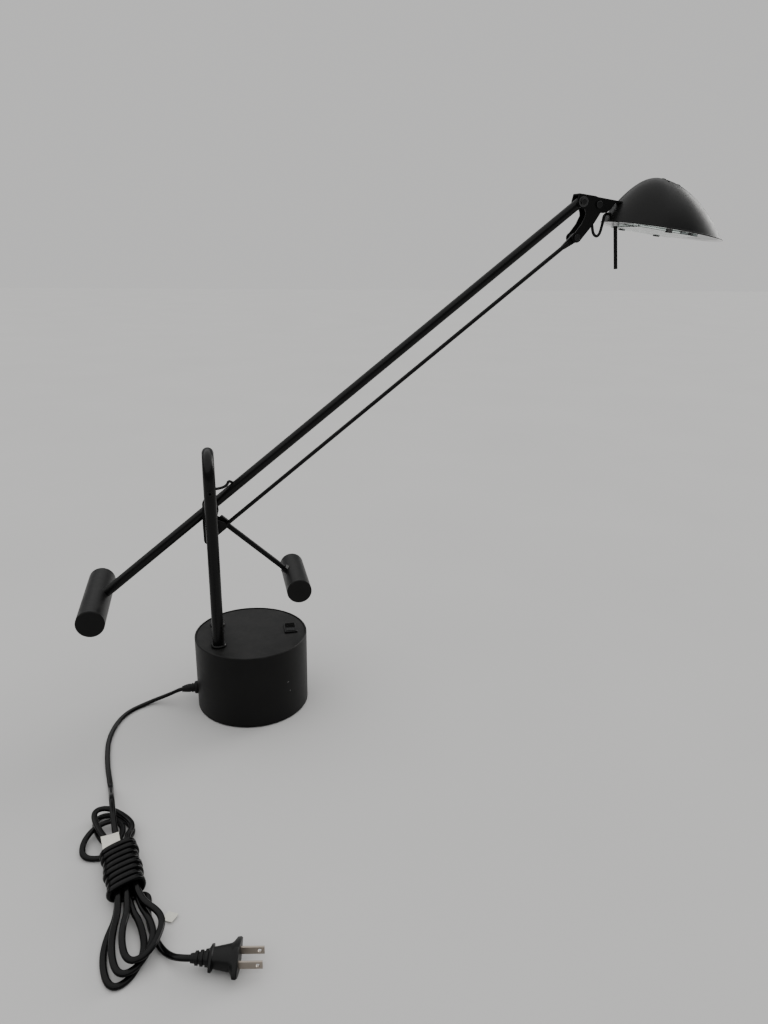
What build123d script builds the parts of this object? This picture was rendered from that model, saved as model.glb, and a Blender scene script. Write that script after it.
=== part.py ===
from build123d import *
import math
import os

# Counterweight balance desk lamp. Millimetres, +Z up, origin on the table under the centre of the base.
# The arm and the head move in the XZ plane, with the head towards +X.

# ---------------------------------------------------------------- driving dimensions
BASE_RADIUS = 63.5
BASE_HEIGHT = 86.4
BASE_WALL = 2.0
BASE_FLOOR_GAP = 1.2          # the drum's lower edge hangs just above the table
TOP_RECESS = 0.8              # the top plate lies this far below the drum's rim
TOP_THICKNESS = 3.0
PAD_RADIUS = 51.0
PAD_THICKNESS = 2.0
PLATE_THICKNESS = 5.0
LUG_RING_RADIUS = 56.4
LUG_ANGLES = (90, 210, 330)

HOOP_X = -37.1
HOOP_HALF_WIDTH = 25.2
HOOP_TUBE_RADIUS = 6.35
HOOP_TUBE_WALL = 1.2
HOOP_TOP = 304.7
HOOP_FOOT_Z = 70.0
CABLE_HOLE_Z = 264.0

AXLE_Z = 240.1
AXLE_RADIUS = 2.5
ARM_ANGLE = 38.4              # degrees above the horizontal at rest
ARM_SPAN = 508.0              # axle to the pivot in the knuckle
ARM_TUBE_RADIUS = 5.25
ARM_TUBE_WALL = 1.2
ARM_CABLE_HOLE = 34.5         # along the arm from the axle
PIVOT_DROP = (-3.7, -35.5)    # from an arm pivot to the link pivot below it
PIN_RADIUS = 1.75
RUNNING_FIT = 0.05

UPPER_WEIGHT_REACH = 161.1
UPPER_WEIGHT_RADIUS = 14.6
UPPER_WEIGHT_LENGTH = 115.5
ARM_SOCKET_DEPTH = 9.0

LINK_RADIUS = 2.2
LINK_Y = -3.0                 # the link lies beside the weight rod, so that the two can cross
LINK_EYE_RADIUS = 4.6
LINK_EYE_THICKNESS = 3.0
LINK_EYE_TAPER = 16.0
OPEN_PIVOT_CLEARANCE = 0.3

CHEEK_INNER = 6.0             # half gap between a pair of cheek plates
CHEEK_THICKNESS = 1.6

WEIGHT_ROD_RADIUS = 3.0
WEIGHT_ROD_Y = 3.0
WEIGHT_ROD_ROOT = (8.0, -15.1)     # from the axle
LOWER_WEIGHT_CENTRE = (89.3, -89.9)
LOWER_WEIGHT_RADIUS = 13.4
LOWER_WEIGHT_LENGTH = 79.8
ROD_SOCKET_DEPTH = 8.0

NECK_BOLT_AT = (18.3, -2.5)   # from the arm's pivot in the knuckle
NECK_BOLT_RADIUS = 2.0
NECK_HALF_WIDTH = 5.8
NECK_THICKNESS = 1.6

HEAD_X = 443.2                # foot of the shade's crown, in the plane of its rim
HEAD_Z = 530.0
HEAD_TILT = 7.3               # degrees nose down at rest
SHADE_FRONT = 89.8
SHADE_BACK = 52.1
SHADE_HALF_WIDTH = 45.7
SHADE_CROWN = 52.2
SHADE_WALL = 1.2
VENT_AT = (6.0, 24.0)         # along the head from the crown
VENT_WIDTH = 3.0
VENT_LENGTH = 24.0

WELL_CENTRE_X = 8.0
WELL_LENGTH = 66.0
WELL_WIDTH = 56.0
WELL_TOP_LENGTH = 44.0
WELL_TOP_WIDTH = 30.0
WELL_DEPTH = 27.0
REFLECTOR_SHEET = 0.8
REFLECTOR_Z = 1.4
PANE_THICKNESS = 3.0
PANE_MARGIN = 3.0
LAMP_Z = 13.0
LAMP_RADIUS = 5.5

HANDLE_RADIUS = 2.05
HANDLE_TOP = (-40.9, 7.0)     # in the head's own plane
HANDLE_END = (-27.3, -45.2)

SWITCH_X = 45.0
SWITCH_LENGTH = 21.0          # along Y
SWITCH_WIDTH = 15.0
BEZEL_HEIGHT = 1.8
ROCKER_LENGTH = 16.4
ROCKER_WIDTH = 10.6
ROCKER_TILT = 7.0

CABLE_RADIUS = 1.5            # low-voltage pair in its sleeve
WIRE_RADIUS = 0.75

CORD_DIAMETER = 5.4
CORD_EXIT_Z = 21.0
HANK_CENTRE = (-124.5, -266.0)
HANK_AXIS_ANGLE = 102.7       # degrees, from +X to the hank's top end
WAIST_TOP = 44.0              # along the hank's axis
WAIST_BOTTOM = -36.0
WAIST_STAGGER = 4.0           # the outer strands leave the waist this much sooner
WAIST_PITCH = 6.4             # between the strands side by side
LOW_ROW_Z = 8.9
HIGH_ROW_Z = 15.1
WRAP_HALF_WIDTH = 13.8
WRAP_TOP_Z = 21.4
WRAP_TURNS = 8
WRAP_PITCH = 6.5
WRAP_START = 32.0

PLUG_ANGLE = -11.0
PLUG_ENTRY = (-69.5, -359.5)
PLUG_Z = 9.6
PLUG_LENGTH = 36.0
BLADE_GAP = 12.7
BLADE_WIDTH = 6.35
BLADE_THICKNESS = 1.5
BLADE_LENGTH = 17.5

# ---------------------------------------------------------------- worked-out places
TOP_Z = BASE_HEIGHT - TOP_RECESS
AXLE = Vector(HOOP_X, 0, AXLE_Z)
ARM_DIR = Vector(math.cos(math.radians(ARM_ANGLE)), 0, math.sin(math.radians(ARM_ANGLE)))
ARM_UP = Vector(-ARM_DIR.Z, 0, ARM_DIR.X)
DROP = Vector(PIVOT_DROP[0], 0, PIVOT_DROP[1])
KNUCKLE = AXLE + ARM_DIR * ARM_SPAN
LINK_LOW = AXLE + DROP
LINK_HIGH = KNUCKLE + DROP
NECK_BOLT = KNUCKLE + Vector(NECK_BOLT_AT[0], 0, NECK_BOLT_AT[1])
CHEEK_OUTER = CHEEK_INNER + CHEEK_THICKNESS
HEAD_TURN = math.radians(HEAD_TILT)
HEAD = Plane(
    origin=(HEAD_X, 0, HEAD_Z),
    x_dir=(math.cos(HEAD_TURN), 0, -math.sin(HEAD_TURN)),
    z_dir=(math.sin(HEAD_TURN), 0, math.cos(HEAD_TURN)),
)
INNER_TOP_Z = TOP_Z - TOP_THICKNESS

os.makedirs("parts", exist_ok=True)


# ---------------------------------------------------------------- shared helpers
def save(piece, label):
    """Label a finished piece and write it as one node."""
    piece.part.label = label
    export_step(piece.part, f"parts/{label}.step")


def side(at, y):
    """Sketch plane that looks along +Y, with its origin over the point at and its face at y."""
    return Plane(origin=(at.X, y, at.Z), x_dir=(1, 0, 0), z_dir=(0, -1, 0))


def cross(start, end):
    """Sketch plane square to the line from start to end."""
    return Plane(origin=start, z_dir=end - start)


def on_arm(along, up=0.0, y=0.0):
    """Point on the arm's line, counted from the axle."""
    return AXLE + ARM_DIR * along + ARM_UP * up + Vector(0, y, 0)


def in_head(x, z, y=0.0):
    """Point of the head's own plane in the lamp's frame."""
    return HEAD.from_local_coords(Vector(x, y, z))


def round_bar(start, end, radius, bore=0.0):
    """Plain round bar or tube between two points."""
    with BuildPart() as bar:
        with BuildSketch(cross(start, end)):
            Circle(radius)
            if bore:
                Circle(bore, mode=Mode.SUBTRACT)
        extrude(amount=(end - start).length)
    return bar


def corner_radii(points):
    """Largest soft arc at each corner of a route: 0.45 of the shorter run over tan(half the turn)."""
    radii = []
    for before, corner, after in zip(points, points[1:], points[2:]):
        run_in = corner - before
        run_out = after - corner
        half_turn = math.radians(run_in.get_angle(run_out)) / 2
        radii.append(0.45 * min(run_in.length, run_out.length) / math.tan(half_turn))
    return radii


def soft_tube(name, points, radius, limit=None):
    """Round tube along straight runs joined by tangent arcs."""
    radii = corner_radii(points)
    if limit:
        radii = [min(value, limit) for value in radii]
    with BuildPart() as tube:
        with BuildLine() as route:
            FilletPolyline(*points, radius=radii)
        with BuildSketch(cross(points[0], points[1])):
            Circle(radius)
        sweep()
    length = sum(edge.length for edge in route.edges())
    expected = math.pi * radius ** 2 * length
    print(f"{name}: length {length:.0f}, smallest radius {min(radii):.1f}, "
          f"volume over section x length {tube.part.volume / expected:.3f}")
    return tube


# ---------------------------------------------------------------- base
with BuildPart() as base_shell:
    with BuildSketch(Plane.XY.offset(BASE_FLOOR_GAP)):
        Circle(BASE_RADIUS)
        Circle(BASE_RADIUS - BASE_WALL, mode=Mode.SUBTRACT)
    extrude(amount=BASE_HEIGHT - BASE_FLOOR_GAP)
    rim = base_shell.edges().filter_by(GeomType.CIRCLE).group_by(Axis.Z)[-1].sort_by(SortBy.RADIUS)[-1]
    fillet(rim, radius=1.2)
    with BuildSketch(Plane.XY.offset(PAD_THICKNESS + PLATE_THICKNESS)):
        for angle in LUG_ANGLES:
            with Locations(Rotation(0, 0, angle) * Pos(LUG_RING_RADIUS + 0.8, 0)):
                Rectangle(9.2, 10)
        Circle(BASE_RADIUS - 0.5, mode=Mode.INTERSECT)
    extrude(amount=8)
    with BuildSketch(Plane.XY.offset(PAD_THICKNESS + PLATE_THICKNESS)):
        for angle in LUG_ANGLES:
            with Locations(Rotation(0, 0, angle) * Pos(LUG_RING_RADIUS, 0)):
                Circle(2.0)
    extrude(amount=8, mode=Mode.SUBTRACT)
    with BuildSketch(Plane(origin=(-BASE_RADIUS - 5, 0, CORD_EXIT_Z), z_dir=(1, 0, 0))):
        Circle(5.5)
    extrude(amount=12, mode=Mode.SUBTRACT)
save(base_shell, "base_shell")

with BuildPart() as base_top:
    with BuildSketch(Plane.XY.offset(INNER_TOP_Z)):
        Circle(BASE_RADIUS - BASE_WALL)
        with Locations((HOOP_X, HOOP_HALF_WIDTH), (HOOP_X, -HOOP_HALF_WIDTH)):
            Circle(HOOP_TUBE_RADIUS, mode=Mode.SUBTRACT)
        with Locations((SWITCH_X, 0)):
            Rectangle(SWITCH_WIDTH - 2, SWITCH_LENGTH - 2, mode=Mode.SUBTRACT)
    extrude(amount=TOP_THICKNESS)
    outer_edge = base_top.edges().filter_by(GeomType.CIRCLE).group_by(Axis.Z)[-1].sort_by(SortBy.RADIUS)[-1]
    chamfer(outer_edge, length=0.5)
save(base_top, "base_top")

with BuildPart() as base_plate:
    with BuildSketch(Plane.XY.offset(PAD_THICKNESS)):
        Circle(BASE_RADIUS - BASE_WALL - 0.2)
    extrude(amount=PLATE_THICKNESS)
    bottom = base_plate.faces().sort_by(Axis.Z)[0]
    with Locations(Plane(bottom)):
        with PolarLocations(LUG_RING_RADIUS, 3, start_angle=-90):
            CounterSinkHole(2.0, 4.0)
save(base_plate, "base_plate")

with BuildPart() as base_pad:
    with BuildSketch():
        Circle(PAD_RADIUS)
    extrude(amount=PAD_THICKNESS)
save(base_pad, "base_pad")

with BuildPart() as plate_screws:
    with BuildSketch(Plane.XY.offset(PAD_THICKNESS)):
        with PolarLocations(LUG_RING_RADIUS, 3, start_angle=90):
            Circle(2.0)
    extrude(amount=11)
    for angle in LUG_ANGLES:
        with Locations(Rotation(0, 0, angle) * Pos(LUG_RING_RADIUS, 0, PAD_THICKNESS)):
            Cone(3.6, 2.0, 1.6, align=(Align.CENTER, Align.CENTER, Align.MIN))
save(plate_screws, "plate_screws")

# ---------------------------------------------------------------- transformer on the bottom plate
CORE_LENGTH = 66.0
CORE_HEIGHT = 55.0
CORE_DEPTH = 33.0
CORE_LIMB = 11.0
CORE_X = 4.0
CORE_Z = PAD_THICKNESS + PLATE_THICKNESS
WINDOW_HEIGHT = CORE_HEIGHT - 2 * CORE_LIMB
core_middle = Vector(CORE_X, 0, CORE_Z + CORE_HEIGHT / 2)

with BuildPart() as transformer_core:
    with BuildSketch(side(core_middle, CORE_DEPTH / 2)):
        Rectangle(CORE_LENGTH, CORE_HEIGHT)
        with GridLocations(3 * CORE_LIMB, 0, 2, 1):
            Rectangle(CORE_LIMB, WINDOW_HEIGHT, mode=Mode.SUBTRACT)
    extrude(amount=CORE_DEPTH)
save(transformer_core, "transformer_core")

limb_x = 2 * CORE_LIMB
flange_x = 4 * CORE_LIMB - 0.4
flange_y = CORE_DEPTH + 22
with BuildPart() as transformer_bobbin:
    with BuildSketch(Plane.XY.offset(core_middle.Z - WINDOW_HEIGHT / 2 + 0.2)):
        with Locations((CORE_X, 0)):
            Rectangle(flange_x, flange_y)
    extrude(amount=1.4)
    with BuildSketch(Plane.XY.offset(core_middle.Z + WINDOW_HEIGHT / 2 - 1.6)):
        with Locations((CORE_X, 0)):
            Rectangle(flange_x, flange_y)
    extrude(amount=1.4)
    with BuildSketch(Plane.XY.offset(core_middle.Z - WINDOW_HEIGHT / 2 + 0.2)):
        with Locations((CORE_X, 0)):
            Rectangle(limb_x + 2.4, CORE_DEPTH + 2.4)
    extrude(amount=WINDOW_HEIGHT - 0.4)
    with BuildSketch(Plane.XY.offset(core_middle.Z - WINDOW_HEIGHT / 2)):
        with Locations((CORE_X, 0)):
            Rectangle(limb_x + 0.2, CORE_DEPTH + 0.2)
    extrude(amount=WINDOW_HEIGHT, mode=Mode.SUBTRACT)
save(transformer_bobbin, "transformer_bobbin")

with BuildPart() as transformer_winding:
    with BuildSketch(Plane.XY.offset(core_middle.Z - WINDOW_HEIGHT / 2 + 1.8)):
        with Locations((CORE_X, 0)):
            RectangleRounded(flange_x - 2, flange_y - 3, 7)
            Rectangle(limb_x + 2.6, CORE_DEPTH + 2.6, mode=Mode.SUBTRACT)
    extrude(amount=WINDOW_HEIGHT - 3.6)
save(transformer_winding, "transformer_winding")

STRAP = 1.2
strap_foot = 9.0
with BuildPart() as transformer_strap:
    with BuildSketch(side(Vector(CORE_X, 0, CORE_Z), 10)):
        with Locations((0, (CORE_HEIGHT + STRAP) / 2)):
            Rectangle(CORE_LENGTH + 2 * STRAP, CORE_HEIGHT + STRAP)
        with Locations((0, STRAP / 2)):
            Rectangle(CORE_LENGTH + 2 * strap_foot, STRAP)
        with Locations((0, CORE_HEIGHT / 2)):
            Rectangle(CORE_LENGTH, CORE_HEIGHT, mode=Mode.SUBTRACT)
    extrude(amount=20)
    with BuildSketch(Plane.XY.offset(CORE_Z)):
        with Locations((CORE_X, 0)):
            with GridLocations(CORE_LENGTH + strap_foot + STRAP, 0, 2, 1):
                Circle(1.8)
    extrude(amount=STRAP, mode=Mode.SUBTRACT)
save(transformer_strap, "transformer_strap")

with BuildPart() as transformer_screws:
    with BuildSketch(Plane.XY.offset(CORE_Z + STRAP)):
        with Locations((CORE_X, 0)):
            with GridLocations(CORE_LENGTH + strap_foot + STRAP, 0, 2, 1):
                Circle(3.2)
    extrude(amount=2.2)
    with BuildSketch(Plane.XY.offset(CORE_Z)):
        with Locations((CORE_X, 0)):
            with GridLocations(CORE_LENGTH + strap_foot + STRAP, 0, 2, 1):
                Circle(1.8)
    extrude(amount=STRAP)
save(transformer_screws, "transformer_screws")

# ---------------------------------------------------------------- rocker switch in the top plate
rocker_axis = Vector(SWITCH_X, 0, TOP_Z + 0.6)
with BuildPart() as switch_body:
    with BuildSketch(Plane.XY.offset(TOP_Z)):
        with Locations((SWITCH_X, 0)):
            RectangleRounded(SWITCH_WIDTH, SWITCH_LENGTH, 1.6)
    extrude(amount=BEZEL_HEIGHT)
    chamfer(switch_body.faces().sort_by(Axis.Z)[-1].edges(), length=0.5)
    with BuildSketch(Plane.XY.offset(TOP_Z)):
        with Locations((SWITCH_X, 0)):
            Rectangle(SWITCH_WIDTH - 2, SWITCH_LENGTH - 2)
    extrude(amount=-17)
    with BuildSketch(Plane.XY.offset(TOP_Z - 5.4)):
        with Locations((SWITCH_X, 0)):
            Rectangle(ROCKER_WIDTH + 0.6, ROCKER_LENGTH + 1.4)
    extrude(amount=5.4 + BEZEL_HEIGHT, mode=Mode.SUBTRACT)
save(switch_body, "switch_body")

rocker_half = ROCKER_LENGTH / 2
rocker_plane = Plane(
    origin=(SWITCH_X - ROCKER_WIDTH / 2, 0, rocker_axis.Z), x_dir=(0, 1, 0), z_dir=(1, 0, 0)
).rotated((ROCKER_TILT, 0, 0))
with BuildPart() as switch_rocker:
    with BuildSketch(rocker_plane):
        Polygon(
            (-rocker_half, -3.4), (rocker_half, -3.4), (rocker_half, 2.6), (0, 1.0), (-rocker_half, 2.6),
            align=None,
        )
    extrude(amount=ROCKER_WIDTH)
    fillet(switch_rocker.edges().filter_by(Axis.X).group_by(Axis.Z)[-1], radius=0.6)
save(switch_rocker, "switch_rocker")

# ---------------------------------------------------------------- strain relief in the drum's side
with BuildPart() as cord_bushing:
    with BuildSketch(Plane.XZ):
        with BuildLine():
            Polyline(
                (-BASE_RADIUS + 4.2, 0), (-BASE_RADIUS + 4.2, 7.0), (-BASE_RADIUS + 2.5, 7.0),
                (-BASE_RADIUS + 2.5, 5.4), (-BASE_RADIUS - 0.1, 5.4), (-BASE_RADIUS - 0.1, 7.4),
                (-BASE_RADIUS - 3.4, 7.0), (-BASE_RADIUS - 3.8, 5.2), (-BASE_RADIUS - 8.5, 3.9),
                (-BASE_RADIUS - 8.5, 0), close=True,
            )
        make_face()
    revolve(axis=Axis.X)
cord_bushing.part = Pos(0, 0, CORD_EXIT_Z) * cord_bushing.part
save(cord_bushing, "cord_bushing")

# ---------------------------------------------------------------- hoop and axle
hoop_arc_z = HOOP_TOP - HOOP_TUBE_RADIUS - HOOP_HALF_WIDTH
hoop_bore = HOOP_TUBE_RADIUS - HOOP_TUBE_WALL
with BuildPart() as hoop_tube:
    with BuildLine():
        Line((HOOP_X, -HOOP_HALF_WIDTH, HOOP_FOOT_Z), (HOOP_X, -HOOP_HALF_WIDTH, hoop_arc_z))
        ThreePointArc(
            (HOOP_X, -HOOP_HALF_WIDTH, hoop_arc_z),
            (HOOP_X, 0, hoop_arc_z + HOOP_HALF_WIDTH),
            (HOOP_X, HOOP_HALF_WIDTH, hoop_arc_z),
        )
        Line((HOOP_X, HOOP_HALF_WIDTH, hoop_arc_z), (HOOP_X, HOOP_HALF_WIDTH, HOOP_FOOT_Z))
    with BuildSketch(Plane(origin=(HOOP_X, -HOOP_HALF_WIDTH, HOOP_FOOT_Z))):
        Circle(HOOP_TUBE_RADIUS)
        Circle(hoop_bore, mode=Mode.SUBTRACT)
    sweep()
    with BuildSketch(side(AXLE, 40)):
        Circle(AXLE_RADIUS)
    extrude(amount=40 + HOOP_HALF_WIDTH, mode=Mode.SUBTRACT)
    with BuildSketch(side(Vector(HOOP_X, 0, CABLE_HOLE_Z), -10)):
        Circle(2.4)
    extrude(amount=30, mode=Mode.SUBTRACT)
save(hoop_tube, "hoop_tube")

leg_spots = [(HOOP_X, -HOOP_HALF_WIDTH), (HOOP_X, HOOP_HALF_WIDTH)]
with BuildPart() as hoop_collars:
    with BuildSketch(Plane.XY.offset(TOP_Z)):
        with Locations(leg_spots):
            Circle(8.6)
            Circle(HOOP_TUBE_RADIUS, mode=Mode.SUBTRACT)
    extrude(amount=3)
    upper = hoop_collars.edges().filter_by(GeomType.CIRCLE).group_by(Axis.Z)[-1]
    chamfer(upper.filter_by(lambda edge: edge.radius > HOOP_TUBE_RADIUS + 1), length=1.0)
save(hoop_collars, "hoop_collars")

with BuildPart() as hoop_nuts:
    with BuildSketch(Plane.XY.offset(INNER_TOP_Z)):
        with Locations(leg_spots):
            RegularPolygon(10.0, 6)
            Circle(HOOP_TUBE_RADIUS, mode=Mode.SUBTRACT)
    extrude(amount=-6)
save(hoop_nuts, "hoop_nuts")

leg_inner = HOOP_HALF_WIDTH - HOOP_TUBE_RADIUS
leg_outer = HOOP_HALF_WIDTH + HOOP_TUBE_RADIUS
with BuildPart() as axle_bolt:
    with BuildSketch(side(AXLE, leg_outer)):
        Circle(AXLE_RADIUS)
    extrude(amount=leg_outer + HOOP_HALF_WIDTH)
    with BuildSketch(side(AXLE, leg_outer + 3)):
        Circle(4.5)
    extrude(amount=3)
    fillet(axle_bolt.edges().filter_by(GeomType.CIRCLE).sort_by(Axis.Y)[-1], radius=1.2)
save(axle_bolt, "axle_bolt")

SPACER_GAP = 0.1
FRICTION_FACE_RADIUS = 8.2
with BuildPart() as axle_spacers:
    for toward in (-1, 1):
        face = toward * (CHEEK_OUTER + SPACER_GAP)
        with BuildSketch(side(AXLE, face)):
            Circle(FRICTION_FACE_RADIUS)
            Circle(AXLE_RADIUS, mode=Mode.SUBTRACT)
        extrude(amount=-toward * 4.2)
        with BuildSketch(side(AXLE, face + toward * 4.2)):
            Circle(5.0)
            Circle(AXLE_RADIUS, mode=Mode.SUBTRACT)
        extrude(amount=-toward * (leg_inner - CHEEK_OUTER - SPACER_GAP - 4.2))
save(axle_spacers, "axle_spacers")

with BuildPart() as leg_grommet:
    with BuildSketch(side(Vector(HOOP_X, 0, CABLE_HOLE_Z), -leg_outer + 1.4)):
        Circle(2.4)
        Circle(1.3, mode=Mode.SUBTRACT)
    extrude(amount=1.9)
    with BuildSketch(side(Vector(HOOP_X, 0, CABLE_HOLE_Z), -leg_outer - 0.5)):
        Circle(3.0)
        Circle(1.3, mode=Mode.SUBTRACT)
    extrude(amount=0.8)
save(leg_grommet, "leg_grommet")

# ---------------------------------------------------------------- balance bracket on the axle
def cheek_face(at, y, outline):
    """One flat cheek plate, drawn about a pivot and standing from y towards -Y."""
    with BuildPart() as plate:
        with BuildSketch(side(at, y)):
            outline()
        extrude(amount=CHEEK_THICKNESS)
    return plate


def balance_outline():
    """Bar from the axle to the link pin, with a wing towards the weight rod."""
    with BuildSketch(mode=Mode.PRIVATE) as bar:
        for spot, radius in (((-0.4, 0), 8.6), ((-3.2, -18), 6.2), (PIVOT_DROP, 5.4)):
            with Locations(spot):
                Circle(radius)
        make_hull()
    with BuildSketch(mode=Mode.PRIVATE) as wing:
        for spot, radius in (((-1, -15), 4.6), ((11.2, -20.8), 4.6), ((-1.5, -31), 4.6)):
            with Locations(spot):
                Circle(radius)
        make_hull()
    add(bar.sketch)
    add(wing.sketch)
    Circle(AXLE_RADIUS + RUNNING_FIT, mode=Mode.SUBTRACT)
    with Locations(PIVOT_DROP):
        Circle(PIN_RADIUS + RUNNING_FIT, mode=Mode.SUBTRACT)


near_balance_plate = cheek_face(AXLE, -CHEEK_INNER, balance_outline)
save(near_balance_plate, "near_balance_plate")
far_balance_plate = cheek_face(AXLE, CHEEK_OUTER, balance_outline)
save(far_balance_plate, "far_balance_plate")

rod_root = AXLE + Vector(WEIGHT_ROD_ROOT[0], WEIGHT_ROD_Y, WEIGHT_ROD_ROOT[1])
weight_centre = AXLE + Vector(LOWER_WEIGHT_CENTRE[0], WEIGHT_ROD_Y, LOWER_WEIGHT_CENTRE[1])
rod_dir = (weight_centre - rod_root).normalized()
weight_face = weight_centre - rod_dir * LOWER_WEIGHT_RADIUS
rod_end = weight_face + rod_dir * ROD_SOCKET_DEPTH

weight_rod = round_bar(rod_root, rod_end, WEIGHT_ROD_RADIUS - 0.05)
save(weight_rod, "weight_rod")

block_middle = rod_root + rod_dir * 6.5
block_plane = Plane(
    origin=(block_middle.X, CHEEK_INNER, block_middle.Z), x_dir=rod_dir, z_dir=(0, -1, 0)
)
with BuildPart() as weight_rod_block:
    with BuildSketch(block_plane):
        RectangleRounded(13, 9.4, 1.5)
    extrude(amount=CHEEK_INNER - 0.1)
    with BuildSketch(cross(rod_root - rod_dir * 5, rod_end)):
        Circle(WEIGHT_ROD_RADIUS - 0.05)
    extrude(amount=25, mode=Mode.SUBTRACT)
save(weight_rod_block, "weight_rod_block")

with BuildPart() as weight_rod_nut:
    with BuildSketch(cross(weight_face - rod_dir * 3.6, weight_face)):
        RegularPolygon(4.9, 6)
        Circle(WEIGHT_ROD_RADIUS, mode=Mode.SUBTRACT)
    extrude(amount=3.6)
save(weight_rod_nut, "weight_rod_nut")

with BuildPart() as lower_counterweight:
    with BuildSketch(side(weight_centre, LOWER_WEIGHT_LENGTH / 2)):
        Circle(LOWER_WEIGHT_RADIUS)
    extrude(amount=LOWER_WEIGHT_LENGTH)
    chamfer(lower_counterweight.edges().filter_by(GeomType.CIRCLE), length=0.7)
    with BuildSketch(cross(weight_face - rod_dir * 4, weight_face)):
        Circle(WEIGHT_ROD_RADIUS)
    extrude(amount=4 + ROD_SOCKET_DEPTH, mode=Mode.SUBTRACT)
save(lower_counterweight, "lower_counterweight")


# ---------------------------------------------------------------- link rod and its pins
def headed_pin(at, radius, head_radius, reach, head):
    """Pin along Y through a pair of cheeks, with a round head at each end."""
    with BuildPart() as pin:
        with BuildSketch(side(at, reach)):
            Circle(radius)
        extrude(amount=2 * reach)
        for toward in (-1, 1):
            with BuildSketch(side(at, toward * reach)):
                Circle(head_radius)
            extrude(amount=-toward * head)
        ends = pin.edges().filter_by(GeomType.CIRCLE)
        fillet([ends.sort_by(Axis.Y)[0], ends.sort_by(Axis.Y)[-1]], radius=0.6)
    return pin


def pin_spacers(at, radius):
    """Two tubes on a link pin, one each side of the link's eye."""
    eye_low = LINK_Y - LINK_EYE_THICKNESS / 2
    eye_high = LINK_Y + LINK_EYE_THICKNESS / 2
    with BuildPart() as spacers:
        for y_low, y_high in ((-CHEEK_INNER + 0.1, eye_low - 0.1), (eye_high + 0.1, CHEEK_INNER - 0.1)):
            with BuildSketch(side(at, y_high)):
                Circle(3.6)
                Circle(radius, mode=Mode.SUBTRACT)
            extrude(amount=y_high - y_low)
    return spacers


lower_pin = headed_pin(LINK_LOW, PIN_RADIUS, 3.4, CHEEK_OUTER + 0.1, 2.0)
save(lower_pin, "lower_pin")
lower_pin_spacers = pin_spacers(LINK_LOW, PIN_RADIUS)
save(lower_pin_spacers, "lower_pin_spacers")

link_axis = (LINK_HIGH - LINK_LOW).normalized()
link_shift = Vector(0, LINK_Y, 0)
with BuildPart() as link_rod:
    for eye, inward in ((LINK_LOW, link_axis), (LINK_HIGH, -link_axis)):
        tongue = Plane(
            origin=eye + Vector(0, LINK_Y + LINK_EYE_THICKNESS / 2, 0), x_dir=inward, z_dir=(0, -1, 0)
        )
        with BuildSketch(tongue):
            Circle(LINK_EYE_RADIUS)
            with Locations((LINK_EYE_TAPER, 0)):
                Circle(LINK_RADIUS)
            make_hull()
        extrude(amount=LINK_EYE_THICKNESS)
    start = LINK_LOW + link_shift + link_axis * LINK_EYE_TAPER * 0.6
    end = LINK_HIGH + link_shift - link_axis * LINK_EYE_TAPER * 0.6
    with BuildSketch(cross(start, end)):
        Circle(LINK_RADIUS)
    extrude(amount=(end - start).length)
    with BuildSketch(side(LINK_LOW, 0)):
        Circle(PIN_RADIUS + RUNNING_FIT)
    extrude(amount=2 * CHEEK_INNER, mode=Mode.SUBTRACT)
    with BuildSketch(side(LINK_HIGH, 0)):
        Circle(PIN_RADIUS + OPEN_PIVOT_CLEARANCE)
    extrude(amount=2 * CHEEK_INNER, mode=Mode.SUBTRACT)
save(link_rod, "link_rod")

# ---------------------------------------------------------------- arm
arm_back = -(UPPER_WEIGHT_REACH - UPPER_WEIGHT_RADIUS + ARM_SOCKET_DEPTH)
arm_front = ARM_SPAN + ARM_TUBE_RADIUS
arm_bore = ARM_TUBE_RADIUS - ARM_TUBE_WALL
AXLE_BUSH_RADIUS = 3.8
TIP_BUSH_RADIUS = 2.25
with BuildPart() as arm_tube:
    with BuildSketch(cross(on_arm(arm_back), on_arm(arm_front))):
        Circle(ARM_TUBE_RADIUS)
        Circle(arm_bore, mode=Mode.SUBTRACT)
    extrude(amount=arm_front - arm_back)
    with BuildSketch(side(AXLE, 8)):
        Circle(AXLE_BUSH_RADIUS)
    extrude(amount=16, mode=Mode.SUBTRACT)
    with BuildSketch(side(KNUCKLE, 8)):
        Circle(TIP_BUSH_RADIUS)
    extrude(amount=16, mode=Mode.SUBTRACT)
    with BuildSketch(cross(on_arm(ARM_CABLE_HOLE), on_arm(ARM_CABLE_HOLE, up=20))):
        Circle(2.4)
    extrude(amount=20, mode=Mode.SUBTRACT)
    with BuildSketch(Plane(origin=KNUCKLE + Vector(0, 8, 0), x_dir=ARM_DIR, z_dir=(0, -1, 0))):
        with Locations((ARM_TUBE_RADIUS, 0)):
            Rectangle(2 * ARM_TUBE_RADIUS, 3 * ARM_TUBE_RADIUS)
        Circle(ARM_TUBE_RADIUS, mode=Mode.SUBTRACT)
    extrude(amount=16, mode=Mode.SUBTRACT)
save(arm_tube, "arm_tube")


def cross_bush(at, radius, bore):
    """Bush across the arm tube, with its bore along Y."""
    half = CHEEK_INNER - 0.1
    with BuildPart() as bush:
        with BuildSketch(side(at, half)):
            Circle(radius)
            Circle(bore, mode=Mode.SUBTRACT)
        extrude(amount=2 * half)
    return bush


arm_axle_bush = cross_bush(AXLE, AXLE_BUSH_RADIUS, AXLE_RADIUS + RUNNING_FIT)
save(arm_axle_bush, "arm_axle_bush")
arm_tip_bush = cross_bush(KNUCKLE, TIP_BUSH_RADIUS, PIN_RADIUS + RUNNING_FIT)
save(arm_tip_bush, "arm_tip_bush")

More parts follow.
